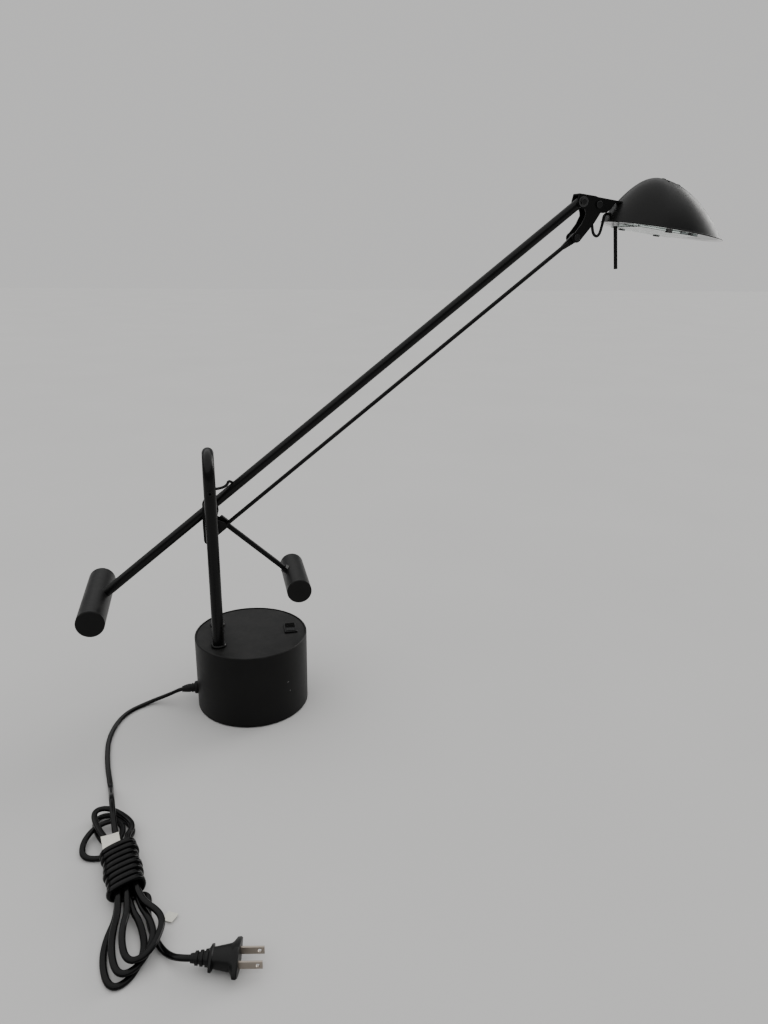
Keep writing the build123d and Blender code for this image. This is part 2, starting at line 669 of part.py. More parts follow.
upper_centre = on_arm(-UPPER_WEIGHT_REACH)
with BuildPart() as upper_counterweight:
    with BuildSketch(side(upper_centre, UPPER_WEIGHT_LENGTH / 2)):
        Circle(UPPER_WEIGHT_RADIUS)
    extrude(amount=UPPER_WEIGHT_LENGTH)
    chamfer(upper_counterweight.edges().filter_by(GeomType.CIRCLE), length=0.8)
    with BuildSketch(cross(on_arm(arm_back), on_arm(0))):
        Circle(ARM_TUBE_RADIUS)
    extrude(amount=30, mode=Mode.SUBTRACT)
    with BuildSketch(cross(on_arm(-UPPER_WEIGHT_REACH - 20), on_arm(0))):
        Circle(2.0)
    extrude(amount=30, mode=Mode.SUBTRACT)
    with BuildSketch(cross(on_arm(-UPPER_WEIGHT_REACH - 20), on_arm(0))):
        Circle(4.2)
    extrude(amount=20 - UPPER_WEIGHT_RADIUS + 4, mode=Mode.SUBTRACT)
save(upper_counterweight, "upper_counterweight")

screw_seat = -UPPER_WEIGHT_REACH - UPPER_WEIGHT_RADIUS + 4
with BuildPart() as counterweight_screw:
    with BuildSketch(cross(on_arm(screw_seat), on_arm(0))):
        Circle(2.0)
    extrude(amount=arm_back - screw_seat)
    with BuildSketch(cross(on_arm(screw_seat), on_arm(screw_seat - 10))):
        Circle(3.9)
    extrude(amount=3.4)
    with BuildSketch(cross(on_arm(screw_seat - 3.4), on_arm(0))):
        RegularPolygon(2.0, 6)
    extrude(amount=2, mode=Mode.SUBTRACT)
save(counterweight_screw, "counterweight_screw")

wire_offset = TIP_BUSH_RADIUS + WIRE_RADIUS + 0.12
with BuildPart() as arm_wires:
    with BuildSketch(cross(on_arm(ARM_CABLE_HOLE + 4), on_arm(arm_front))):
        with Locations((wire_offset, 0), (-wire_offset, 0)):
            Circle(WIRE_RADIUS)
    extrude(amount=ARM_SPAN + 3.6 - ARM_CABLE_HOLE - 4)
save(arm_wires, "arm_wires")

# ---------------------------------------------------------------- knuckle
upper_pin = headed_pin(KNUCKLE, PIN_RADIUS, 3.2, CHEEK_OUTER + 1.1, 1.8)
save(upper_pin, "upper_pin")
with BuildPart() as upper_pin_washers:
    for y in (CHEEK_OUTER + 1.0, -CHEEK_OUTER - 0.1):
        with BuildSketch(side(KNUCKLE, y)):
            Circle(5.4)
            Circle(PIN_RADIUS, mode=Mode.SUBTRACT)
        extrude(amount=0.9)
save(upper_pin_washers, "upper_pin_washers")

flange_left = (-4.8, 8.0)
flange_right = (13.6, 5.9)


def knuckle_outline():
    """Y-shaped cheek: an upper bar over both bolts and a leg down to the link pin."""
    with BuildSketch(mode=Mode.PRIVATE) as bar:
        with Locations((0, 0)):
            Circle(6.4)
        with Locations(NECK_BOLT_AT):
            Circle(6.4)
        with BuildLine():
            Polyline((-4.8, 5.0), flange_left, flange_right, (15.0, 1.0), (8.0, -5.0), close=True)
        make_hull()
    with BuildSketch(mode=Mode.PRIVATE) as leg:
        Polygon(
            (2.6, -7.0), (20.6, -8.0), (20.4, -11.6), (14.9, -20.7), (1.0, -38.0), PIVOT_DROP,
            (-7.4, -32.6), (0.7, -21.7), (4.4, -13.4), (3.9, -10.0),
            align=None,
        )
        with Locations(PIVOT_DROP):
            Circle(5.3)
    add(bar.sketch)
    add(leg.sketch)
    with Locations((0, 0), PIVOT_DROP):
        Circle(PIN_RADIUS + RUNNING_FIT, mode=Mode.SUBTRACT)
    with Locations(NECK_BOLT_AT):
        Circle(NECK_BOLT_RADIUS, mode=Mode.SUBTRACT)


with BuildPart() as knuckle_bracket:
    for y in (-CHEEK_INNER, CHEEK_OUTER):
        with BuildSketch(side(KNUCKLE, y)):
            knuckle_outline()
        extrude(amount=CHEEK_THICKNESS)
    flange_slope = math.atan2(flange_right[1] - flange_left[1], flange_right[0] - flange_left[0])
    sink = Vector(math.sin(flange_slope), -math.cos(flange_slope)) * CHEEK_THICKNESS
    with BuildSketch(side(KNUCKLE, CHEEK_OUTER)):
        Polygon(
            flange_left, flange_right,
            (flange_right[0] + sink.X, flange_right[1] + sink.Y),
            (flange_left[0] + sink.X, flange_left[1] + sink.Y),
            align=None,
        )
    extrude(amount=2 * CHEEK_OUTER)
save(knuckle_bracket, "knuckle_bracket")

link_pin = headed_pin(LINK_HIGH, PIN_RADIUS, 3.4, CHEEK_OUTER + 0.1, 2.0)
save(link_pin, "link_pin")
link_pin_spacers = pin_spacers(LINK_HIGH, PIN_RADIUS)
save(link_pin_spacers, "link_pin_spacers")
neck_bolt = headed_pin(NECK_BOLT, NECK_BOLT_RADIUS, 3.6, CHEEK_OUTER, 2.4)
save(neck_bolt, "neck_bolt")

# ---------------------------------------------------------------- head, drawn in its own plane
neck_pivot = HEAD.to_local_coords(NECK_BOLT)
WEB_TOP = 22.2
WEB_LEFT = -70.3
WEB_RIGHT = -26.6
GUSSET_TOP_END = -45.2


def dome(front, back, half_width, height):
    """Solid crown with a parabolic profile, longer in front of its highest point than behind it."""
    with BuildPart() as full:
        with BuildSketch(Plane.XZ):
            with BuildLine():
                Bezier((0, height), (half_width / 2, height), (half_width, 0))
                Polyline((half_width, 0), (0, 0), (0, height))
            make_face()
        revolve(axis=Axis.Z)
    with BuildPart() as front_half:
        add(full.part)
        split(bisect_by=Plane.YZ, keep=Keep.TOP)
    with BuildPart() as back_half:
        add(full.part)
        split(bisect_by=Plane.YZ, keep=Keep.BOTTOM)
    front_solid = scale(front_half.part, by=(front / half_width, 1, 1))
    back_solid = scale(back_half.part, by=(back / half_width, 1, 1))
    return front_solid, back_solid


def put_in_head(piece):
    """Move a piece drawn at the origin onto the tilted head plane."""
    piece.part = HEAD.location * piece.part


outer_front, outer_back = dome(SHADE_FRONT, SHADE_BACK, SHADE_HALF_WIDTH, SHADE_CROWN)
inner_front, inner_back = dome(
    SHADE_FRONT - SHADE_WALL * 1.4, SHADE_BACK - SHADE_WALL * 1.2,
    SHADE_HALF_WIDTH - SHADE_WALL * 1.2, SHADE_CROWN - SHADE_WALL,
)
head_side = Plane.XZ
with BuildPart() as shade_shell:
    add(outer_front)
    add(outer_back)
    add(inner_front, mode=Mode.SUBTRACT)
    add(inner_back, mode=Mode.SUBTRACT)
    for x in VENT_AT:
        with BuildSketch(Plane.XY.offset(SHADE_CROWN / 2)):
            with Locations((x, 0)):
                SlotOverall(VENT_LENGTH, VENT_WIDTH, rotation=90)
        extrude(amount=SHADE_CROWN, mode=Mode.SUBTRACT)
    with BuildSketch(head_side):
        with Locations((-40, WEB_TOP - NECK_THICKNESS / 2)):
            Rectangle(26, NECK_THICKNESS + 0.2)
    extrude(amount=NECK_HALF_WIDTH + 0.1, both=True, mode=Mode.SUBTRACT)
    with BuildSketch(Plane(origin=(-60, 0, 8.6), z_dir=(1, 0, 0))):
        Circle(CABLE_RADIUS + 0.3)
    extrude(amount=30, mode=Mode.SUBTRACT)
put_in_head(shade_shell)
save(shade_shell, "shade_shell")

holder_face = -27.0
pin_gap = 6.35
with BuildPart() as neck_bracket:
    for y in (-NECK_HALF_WIDTH + NECK_THICKNESS, NECK_HALF_WIDTH):
        with BuildSketch(Plane(origin=(0, y, 0), x_dir=(1, 0, 0), z_dir=(0, -1, 0))):
            with Locations((neck_pivot.X, neck_pivot.Z)):
                Circle(6.0)
            with BuildLine():
                Polyline(
                    (neck_pivot.X, neck_pivot.Z - 6.0), (WEB_LEFT, neck_pivot.Z), (WEB_LEFT, WEB_TOP),
                    (GUSSET_TOP_END, WEB_TOP), (-51.4, 12.0), (-54.8, 8.8), (-59.0, 7.6),
                    close=True,
                )
            make_face()
            with Locations((neck_pivot.X, neck_pivot.Z)):
                Circle(NECK_BOLT_RADIUS + RUNNING_FIT, mode=Mode.SUBTRACT)
        extrude(amount=NECK_THICKNESS)
    with BuildSketch(Plane.XY.offset(WEB_TOP - NECK_THICKNESS)):
        with Locations(((WEB_LEFT + WEB_RIGHT) / 2, 0)):
            Rectangle(WEB_RIGHT - WEB_LEFT, 2 * NECK_HALF_WIDTH)
    extrude(amount=NECK_THICKNESS)
    with BuildSketch(Plane(origin=(holder_face, 0, 0), z_dir=(-1, 0, 0), x_dir=(0, 1, 0))):
        with Locations((0, -(WEB_TOP + 8) / 2)):
            Rectangle(2 * NECK_HALF_WIDTH, WEB_TOP - 8)
    extrude(amount=NECK_THICKNESS)
    with BuildSketch(Plane(origin=(holder_face, 0, LAMP_Z), z_dir=(-1, 0, 0))):
        with GridLocations(0, pin_gap, 1, 2):
            Circle(1.1)
    extrude(amount=10, mode=Mode.SUBTRACT)
put_in_head(neck_bracket)
save(neck_bracket, "neck_bracket")

handle_top = Vector(HANDLE_TOP[0], 0, HANDLE_TOP[1])
handle_end = Vector(HANDLE_END[0], 0, HANDLE_END[1])
handle_dir = (handle_end - handle_top).normalized()
flange_middle = REFLECTOR_Z + REFLECTOR_SHEET / 2
handle_seat = handle_top + handle_dir * ((handle_top.Z - flange_middle) / -handle_dir.Z)

flange_offset = 2.6
flange_front, flange_back = dome(
    SHADE_FRONT - flange_offset * 1.6, SHADE_BACK - flange_offset, SHADE_HALF_WIDTH - flange_offset,
    SHADE_CROWN,
)
HOLDER_LENGTH = 13.0
HOLDER_WIDTH = 12.0
HOLDER_HEIGHT = 11.0
well_bottom = Plane(origin=(WELL_CENTRE_X, 0, REFLECTOR_Z))
well_top = Plane(origin=(WELL_CENTRE_X, 0, REFLECTOR_Z + WELL_DEPTH))
with BuildPart() as reflector:
    add(flange_front)
    add(flange_back)
    with BuildSketch(Plane.XY.offset(REFLECTOR_Z + REFLECTOR_SHEET)):
        Rectangle(400, 400)
    extrude(amount=100, mode=Mode.SUBTRACT)
    with BuildSketch(Plane.XY):
        Rectangle(400, 400)
    extrude(amount=REFLECTOR_Z, mode=Mode.SUBTRACT)
    with BuildSketch(well_bottom):
        RectangleRounded(WELL_LENGTH + 2 * REFLECTOR_SHEET, WELL_WIDTH + 2 * REFLECTOR_SHEET, 8)
    with BuildSketch(well_top.offset(REFLECTOR_SHEET)):
        RectangleRounded(WELL_TOP_LENGTH + 2 * REFLECTOR_SHEET, WELL_TOP_WIDTH + 2 * REFLECTOR_SHEET, 8)
    loft()
    with BuildSketch(well_bottom.offset(-0.1)):
        RectangleRounded(WELL_LENGTH, WELL_WIDTH, 7.2)
    with BuildSketch(well_top):
        RectangleRounded(WELL_TOP_LENGTH, WELL_TOP_WIDTH, 7.2)
    loft(mode=Mode.SUBTRACT)
    with BuildSketch(Plane(origin=(holder_face, 0, LAMP_Z), z_dir=(1, 0, 0))):
        Rectangle(HOLDER_WIDTH + 0.4, HOLDER_HEIGHT + 0.4)
    extrude(amount=HOLDER_LENGTH + 3, mode=Mode.SUBTRACT)
    with BuildSketch(Plane.XY):
        with Locations((handle_seat.X, 0)):
            Circle(HANDLE_RADIUS + 0.4)
    extrude(amount=6, mode=Mode.SUBTRACT)
put_in_head(reflector)
save(reflector, "reflector")

pane_top = REFLECTOR_Z - 0.1
with BuildPart() as glass_pane:
    with BuildSketch(Plane.XY.offset(pane_top)):
        with Locations((WELL_CENTRE_X, 0)):
            RectangleRounded(WELL_LENGTH + 2 * PANE_MARGIN, WELL_WIDTH + 2 * PANE_MARGIN, 3)
    extrude(amount=-PANE_THICKNESS)
    chamfer(glass_pane.faces().sort_by(Axis.Z)[0].edges(), length=0.5)
put_in_head(glass_pane)
save(glass_pane, "glass_pane")

clip_reach = (WELL_WIDTH + 2 * PANE_MARGIN) / 2
with BuildPart() as glass_clips:
    for x, toward in ((WELL_CENTRE_X, -1), (WELL_CENTRE_X - 22, 1), (WELL_CENTRE_X + 22, 1)):
        clip_plane = Plane(origin=(x - 3, 0, 0), x_dir=(0, toward, 0), z_dir=(toward, 0, 0))
        clip_start = clip_plane if toward > 0 else Plane(origin=(x + 3, 0, 0), x_dir=(0, -1, 0), z_dir=(-1, 0, 0))
        with BuildSketch(clip_start):
            with BuildLine():
                Polyline(
                    (clip_reach + 0.1, pane_top + 0.1), (clip_reach + 0.1, pane_top - PANE_THICKNESS - 0.1),
                    (clip_reach - 3.4, pane_top - PANE_THICKNESS - 0.1),
                    (clip_reach - 3.4, pane_top - PANE_THICKNESS - 0.9),
                    (clip_reach + 0.9, pane_top - PANE_THICKNESS - 0.9),
                    (clip_reach + 0.9, pane_top + 0.1),
                    close=True,
                )
            make_face()
        extrude(amount=6)
put_in_head(glass_clips)
save(glass_clips, "glass_clips")

with BuildPart() as lamp_holder:
    with BuildSketch(Plane(origin=(holder_face, 0, LAMP_Z), z_dir=(1, 0, 0))):
        RectangleRounded(HOLDER_WIDTH, HOLDER_HEIGHT, 1.5)
    extrude(amount=HOLDER_LENGTH)
    with BuildSketch(Plane(origin=(holder_face + HOLDER_LENGTH, 0, LAMP_Z), z_dir=(-1, 0, 0))):
        with GridLocations(0, pin_gap, 1, 2):
            Circle(0.8)
    extrude(amount=7, mode=Mode.SUBTRACT)
put_in_head(lamp_holder)
save(lamp_holder, "lamp_holder")

lamp_start = holder_face + HOLDER_LENGTH + 1.5
with BuildPart() as lamp_pins:
    with BuildSketch(Plane(origin=(lamp_start, 0, LAMP_Z), z_dir=(-1, 0, 0))):
        with GridLocations(0, pin_gap, 1, 2):
            Circle(0.6)
    extrude(amount=7)
put_in_head(lamp_pins)
save(lamp_pins, "lamp_pins")

with BuildPart() as halogen_lamp:
    with BuildSketch(Plane(origin=(lamp_start + 8, 0, 0), z_dir=(1, 0, 0))):
        Circle(LAMP_RADIUS)
    extrude(amount=19)
    with Locations((lamp_start + 27, 0, 0)):
        Sphere(LAMP_RADIUS)
    with Locations((lamp_start, 0, 0)):
        Box(8.5, 4.0, 9.6, align=(Align.MIN, Align.CENTER, Align.CENTER))
halogen_lamp.part = Pos(0, 0, LAMP_Z) * halogen_lamp.part
put_in_head(halogen_lamp)
save(halogen_lamp, "halogen_lamp")


handle_rod = round_bar(handle_top, handle_end, HANDLE_RADIUS)
put_in_head(handle_rod)
save(handle_rod, "handle_rod")

with BuildPart() as handle_nuts:
    with BuildSketch(cross(handle_seat, handle_end)):
        Circle(4.0)
    extrude(amount=4.0)
    with BuildSketch(cross(handle_seat, handle_top)):
        RegularPolygon(4.0, 6)
    extrude(amount=4.0)
    with Locations((handle_seat.X, 0, flange_middle)):
        Box(20, 20, REFLECTOR_SHEET, mode=Mode.SUBTRACT)
    with BuildSketch(cross(handle_top, handle_end)):
        Circle(HANDLE_RADIUS)
    extrude(amount=30, mode=Mode.SUBTRACT)
put_in_head(handle_nuts)
save(handle_nuts, "handle_nuts")

# ---------------------------------------------------------------- low-voltage cables and inner wires
with BuildPart() as lamp_leads:
    for toward in (-1, 1):
        lead_route = [
            Vector(-48, toward * 0.8, 8.6),
            Vector(-42, toward * 0.8, 8.6),
            Vector(-34, toward * pin_gap / 2, LAMP_Z),
            Vector(holder_face, toward * pin_gap / 2, LAMP_Z),
        ]
        with BuildLine():
            FilletPolyline(*lead_route, radius=4)
        with BuildSketch(cross(lead_route[0], lead_route[1])):
            Circle(WIRE_RADIUS)
        sweep()
put_in_head(lamp_leads)
save(lamp_leads, "lamp_leads")

post_route = [
    Vector(-12, -26, 34),
    Vector(-12, -34, 34),
    Vector(-30, -38, 42),
    Vector(HOOP_X, -HOOP_HALF_WIDTH - 1, 58),
    Vector(HOOP_X, -HOOP_HALF_WIDTH - 1, 150),
    Vector(HOOP_X, -HOOP_HALF_WIDTH - 3.2, CABLE_HOLE_Z - 40),
    Vector(HOOP_X, -HOOP_HALF_WIDTH - 3.2, CABLE_HOLE_Z),
    Vector(HOOP_X, -leg_inner, CABLE_HOLE_Z),
]
post_cable = soft_tube("post_cable", post_route, CABLE_RADIUS, limit=60)
save(post_cable, "post_cable")

hoop_loop_route = [
    Vector(HOOP_X, -leg_inner, CABLE_HOLE_Z),
    Vector(HOOP_X, -leg_inner + 6, CABLE_HOLE_Z),
    Vector(-29, -7.5, 261.6),
    Vector(-19, -4.5, 263.5),
    on_arm(ARM_CABLE_HOLE, up=10.5, y=-0.6),
    on_arm(ARM_CABLE_HOLE + 1.2, up=1.0),
]
hoop_loop_cable = soft_tube("hoop_loop_cable", hoop_loop_route, CABLE_RADIUS)
save(hoop_loop_cable, "hoop_loop_cable")


def by_knuckle(x, z, y=0.0):
    """Point counted from the arm's pivot in the knuckle."""
    return KNUCKLE + Vector(x, y, z)


head_loop_route = [
    by_knuckle(7.4, 0.6),
    by_knuckle(9.6, -6.0),
    by_knuckle(15.8, -19.5),
    by_knuckle(18.4, -32.6),
    by_knuckle(25.4, -34.4),
    by_knuckle(28.6, -20.0),
    in_head(-54.5, 8.6),
    in_head(-48.0, 8.6),
]
head_loop_cable = soft_tube("head_loop_cable", head_loop_route, CABLE_RADIUS)
save(head_loop_cable, "head_loop_cable")

bushing_end = Vector(-BASE_RADIUS + 4.2, 0, CORD_EXIT_Z)
switch_under = Vector(SWITCH_X, 0, TOP_Z - 17)
winding_side = (flange_y - 3) / 2
wire_routes = (
    (
        bushing_end + Vector(0, -1.5, 0), bushing_end + Vector(8, -1.5, 0), Vector(-38, -30, 27),
        Vector(2, -43, 32),
        Vector(36, -27, 44), switch_under + Vector(0, -6, -12), switch_under + Vector(0, -6, 0),
    ),
    (
        switch_under + Vector(0, 6, 0), switch_under + Vector(0, 6, -12), Vector(36, 27, 46),
        Vector(14, 34, 36), Vector(14, winding_side, 36),
    ),
    (
        bushing_end + Vector(0, 1.5, 0), bushing_end + Vector(8, 1.5, 0), Vector(-38, 28, 28),
        Vector(-6, 36, 32), Vector(-6, winding_side, 32),
    ),
)
with BuildPart() as base_wires:
    for wire_route in wire_routes:
        with BuildLine():
            FilletPolyline(*wire_route, radius=[min(value, 14) for value in corner_radii(wire_route)])
        with BuildSketch(cross(wire_route[0], wire_route[1])):
            Circle(1.0)
        sweep()
save(base_wires, "base_wires")

# ---------------------------------------------------------------- mains cord
CORD_RADIUS = CORD_DIAMETER / 2
hank_angle = math.radians(HANK_AXIS_ANGLE)
hank_up = Vector(math.cos(hank_angle), math.sin(hank_angle), 0)
hank_right = Vector(hank_up.Y, -hank_up.X, 0)


def on_hank(along, across, z):
    """Point of the hank: along its axis to its top end, across to its right, and up from the table."""
    return Vector(HANK_CENTRE[0], HANK_CENTRE[1], z) + hank_up * along + hank_right * across


def bottom_turn(left, right, end, heights):
    """A loop's lower end, from its left strand round to its right strand."""
    corners = ((-62, left), (end, left), (end, (left + right) / 2), (end + 22, right), (-53, right))
    return [(along, across, z) for (along, across), z in zip(corners, heights)]


def top_turn(heights):
    """A loop's upper end, from its right strand round to its left strand."""
    corners = ((55, 16.5), (73, 13), (91, -1), (88, -15), (64, -14))
    return [(along, across, z) for (along, across), z in zip(corners, heights)]


def waist(column, z, upward):
    """A strand's straight stretch under the wraps."""
    stagger = WAIST_STAGGER * abs(column)
    ends = [
        (WAIST_BOTTOM + stagger, column * WAIST_PITCH, z), (WAIST_TOP - stagger, column * WAIST_PITCH, z),
    ]
    return ends if upward else ends[::-1]


lead_over = [(138, 5.4, CORD_RADIUS), (126, 4.9, CORD_RADIUS), (99, 3.2, 17.6), (84, 2.0, 19.0), (62, 0.5, 17.0)]
last_top = [(58, 9, 8.8), (75, 3, 9.1), (72, -15, 9.1), (58, -28, 5.8), (39, -29, CORD_RADIUS)]
wrap_corners = (
    (WRAP_HALF_WIDTH, CORD_RADIUS), (WRAP_HALF_WIDTH, WRAP_TOP_Z),
    (-WRAP_HALF_WIDTH, WRAP_TOP_Z), (-WRAP_HALF_WIDTH, CORD_RADIUS),
)
wraps = [
    (WRAP_START - WRAP_PITCH * step / 4, *wrap_corners[step % 4]) for step in range(4 * WRAP_TURNS)
]
under_exit = [(-20, 17, CORD_RADIUS), (-40, 12, CORD_RADIUS), (-50, 12, CORD_RADIUS)]
hank_points = (
    lead_over
    + waist(0, HIGH_ROW_Z, False) + bottom_turn(-11, 20, -90, (15.1, 14.9, 14.7, 14.9, 15.6))
    + waist(1, HIGH_ROW_Z, True)
    + top_turn((12.2, 9.2, 12, 15.1, 15.3))
    + waist(-1, HIGH_ROW_Z, False) + bottom_turn(-19, 12.5, -94, (8.7, 8.7, 8.7, 9.0, 9.5))
    + waist(1, LOW_ROW_Z, True)
    + top_turn((5.6, 2.7, 2.7, 2.7, 2.7))
    + waist(-1, LOW_ROW_Z, False) + bottom_turn(-26, 5, -98, (2.7, 2.7, 2.7, 2.7, 9.3))
    + waist(0, LOW_ROW_Z, True)
    + last_top + wraps + under_exit
)
hank_route = [on_hank(*point) for point in hank_points]
with BuildPart() as cord_hank:
    with BuildLine() as hank_path:
        FilletPolyline(*hank_route, radius=corner_radii(hank_route))
    with BuildSketch(cross(hank_route[0], hank_route[1])):
        Circle(CORD_RADIUS)
    sweep()
save(cord_hank, "cord_hank")


def least_gap(line, diameter, spacing=1.5):
    """Least distance between points of a tube's line that are not neighbours along it, less its diameter."""
    count = round(line.length / spacing)
    points = [(place.X, place.Y, place.Z) for place in (line @ (step / count) for step in range(count + 1))]
    apart = math.ceil(2.5 * diameter / spacing)
    least = min(
        math.dist(place, other)
        for index, place in enumerate(points)
        for other in points[index + apart:]
    )
    return least - diameter


hank_line = hank_path.wires()[0]
hank_ratio = cord_hank.part.volume / (math.pi * CORD_RADIUS ** 2 * hank_line.length)
print(f"cord_hank: length {hank_line.length:.0f}, smallest radius {min(corner_radii(hank_route)):.1f}, "
      f"volume over section x length {hank_ratio:.3f}, least gap {least_gap(hank_line, CORD_DIAMETER):.2f}")

lead_route = [
    Vector(-72, 0, CORD_EXIT_Z),
    Vector(-82, 0, CORD_EXIT_Z),
    Vector(-95, 8.5, 10.5),
    Vector(-119, 10, CORD_RADIUS),
    Vector(-147, -10, CORD_RADIUS),
    Vector(-158.8, -52, CORD_RADIUS),
    hank_route[0] - (hank_route[1] - hank_route[0]).normalized() * 34,
    hank_route[0],
]
cord_lead = soft_tube("cord_lead", lead_route, CORD_RADIUS)
save(cord_lead, "cord_lead")

plug_turn = math.radians(PLUG_ANGLE)
plug_dir = Vector(math.cos(plug_turn), math.sin(plug_turn), 0)
plug_entry = Vector(PLUG_ENTRY[0], PLUG_ENTRY[1], PLUG_Z)
tail_route = [
    hank_route[-1],
    hank_route[-1] + (hank_route[-1] - hank_route[-2]).normalized() * 12,
    Vector(-92.5, -338.6, CORD_RADIUS),
    Vector(-85.5, -349.5, 5.4),
    plug_entry - plug_dir * 8,
    plug_entry,
]
cord_tail = soft_tube("cord_tail", tail_route, CORD_RADIUS)
save(cord_tail, "cord_tail")

# ---------------------------------------------------------------- plug
plug_plane = Plane(origin=plug_entry, x_dir=(-plug_dir.Y, plug_dir.X, 0), z_dir=plug_dir)
RELIEF_LENGTH = 14.0
flange_stations = ((RELIEF_LENGTH, 25.0, 15.0, 3.0), (PLUG_LENGTH - 4.0, 37.4, 19.0, 4.0))
with BuildPart() as plug_body:
    with BuildSketch(plug_plane):
        Circle(CORD_RADIUS + 0.7)
    with BuildSketch(plug_plane.offset(RELIEF_LENGTH)):
        RectangleRounded(11, 8.6, 3)
    loft()
    for rib in range(3):
        with BuildSketch(plug_plane.offset(3 + rib * 3.4)):
            RectangleRounded(9.4 + rib * 1.2, 8.6 + rib * 0.5, 3.6)
        extrude(amount=1.6)
    with BuildSketch(plug_plane.offset(RELIEF_LENGTH)):
        RectangleRounded(19, 13, 4)
    with BuildSketch(plug_plane.offset(PLUG_LENGTH - 1)):
        RectangleRounded(26, 15, 4)
    loft()
    for station, width, height, thickness in flange_stations:
        with BuildSketch(plug_plane.offset(station)):
            RectangleRounded(width, height, height / 2 - 0.6)
        extrude(amount=thickness)
    for toward in (-1, 1):
        with BuildSketch(plug_plane.offset(PLUG_LENGTH)):
            with Locations((toward * BLADE_GAP / 2, 0)):
                Rectangle(BLADE_THICKNESS, BLADE_WIDTH)
        extrude(amount=-12, mode=Mode.SUBTRACT)
save(plug_body, "plug_body")

with BuildPart() as plug_blades:
    for toward in (-1, 1):
        with BuildSketch(plug_plane.offset(PLUG_LENGTH - 12)):
            with Locations((toward * BLADE_GAP / 2, 0)):
                Rectangle(BLADE_THICKNESS, BLADE_WIDTH)
        extrude(amount=12 + BLADE_LENGTH)
    blade_hole = Plane(
        origin=plug_entry + plug_dir * (PLUG_LENGTH + BLADE_LENGTH - 3.6) + plug_plane.x_dir * 20,
        z_dir=-plug_plane.x_dir,
    )
    with BuildSketch(blade_hole):
        Circle(1.6)
    extrude(amount=40, mode=Mode.SUBTRACT)
save(plug_blades, "plug_blades")
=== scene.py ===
import math
import bmesh
import bpy
from mathutils import Matrix, Vector


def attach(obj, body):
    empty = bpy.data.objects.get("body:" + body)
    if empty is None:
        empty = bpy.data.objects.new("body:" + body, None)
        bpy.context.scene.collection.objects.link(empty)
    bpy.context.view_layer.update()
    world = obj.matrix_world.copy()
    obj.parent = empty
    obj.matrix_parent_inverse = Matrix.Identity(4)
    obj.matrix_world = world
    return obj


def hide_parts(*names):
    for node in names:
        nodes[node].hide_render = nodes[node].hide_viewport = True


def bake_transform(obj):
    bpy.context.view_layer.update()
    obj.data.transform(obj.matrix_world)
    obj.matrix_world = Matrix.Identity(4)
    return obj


# ---------------------------------------------------------------- frame
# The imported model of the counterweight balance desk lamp, in metres. Its origin is on the table under the
# centre of the base, with the head towards +X.
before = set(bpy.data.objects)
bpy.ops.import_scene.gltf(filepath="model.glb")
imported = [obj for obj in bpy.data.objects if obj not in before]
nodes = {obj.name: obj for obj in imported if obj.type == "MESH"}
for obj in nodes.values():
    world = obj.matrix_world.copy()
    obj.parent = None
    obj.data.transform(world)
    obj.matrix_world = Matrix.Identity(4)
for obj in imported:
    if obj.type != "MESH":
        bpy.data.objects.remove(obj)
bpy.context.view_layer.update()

# ---------------------------------------------------------------- table and light
# The lamp stands on a plain pale table, between a wide window and a pale ceiling. The camera looks slightly
# down at it from in front of the base, from about chest height.
CAMERA_PLACE = Vector((-0.03486, -0.81366, 0.50764))
CAMERA_YAW = math.radians(13.102)
CAMERA_PITCH = math.radians(18.853)
CAMERA_ROLL = math.radians(0.980)
FOCAL_PIXELS = 776.859
FRAME_HEIGHT = 1024
SENSOR = 36.0

looking = Vector((math.sin(CAMERA_YAW) * math.cos(CAMERA_PITCH),
                  math.cos(CAMERA_YAW) * math.cos(CAMERA_PITCH), -math.sin(CAMERA_PITCH)))
level_right = Vector((math.cos(CAMERA_YAW), -math.sin(CAMERA_YAW), 0))
level_up = level_right.cross(looking)
view_right = level_right * math.cos(CAMERA_ROLL) + level_up * math.sin(CAMERA_ROLL)
view_up = level_up * math.cos(CAMERA_ROLL) - level_right * math.sin(CAMERA_ROLL)
lens = bpy.data.cameras.new("camera")
lens.sensor_width = SENSOR
lens.lens = SENSOR * FOCAL_PIXELS / FRAME_HEIGHT
camera = bpy.data.objects.new("camera", lens)
camera.matrix_world = Matrix.Translation(CAMERA_PLACE) @ Matrix(
    (view_right, view_up, -looking)).transposed().to_4x4()
bpy.context.scene.collection.objects.link(camera)
bpy.context.scene.camera = camera


def wide_light(name, towards, strength, spread, colour):
    """Even light from one side, as soft as what it comes from is wide: spread is that width in degrees."""
    lamp = bpy.data.lights.new(name, "SUN")
    lamp.energy, lamp.angle, lamp.color = strength, math.radians(spread), colour
    holder = bpy.data.objects.new(name, lamp)
    holder.rotation_euler = Vector(towards).to_track_quat("Z", "Y").to_euler()
    bpy.context.scene.collection.objects.link(holder)


wide_light("window", towards=(0.86, 0.42, 0.30), strength=1.3, spread=30, colour=(1.0, 0.99, 0.97))
wide_light("ceiling", towards=(-0.12, 0.10, 1.0), strength=2.9, spread=120, colour=(0.99, 0.99, 0.98))

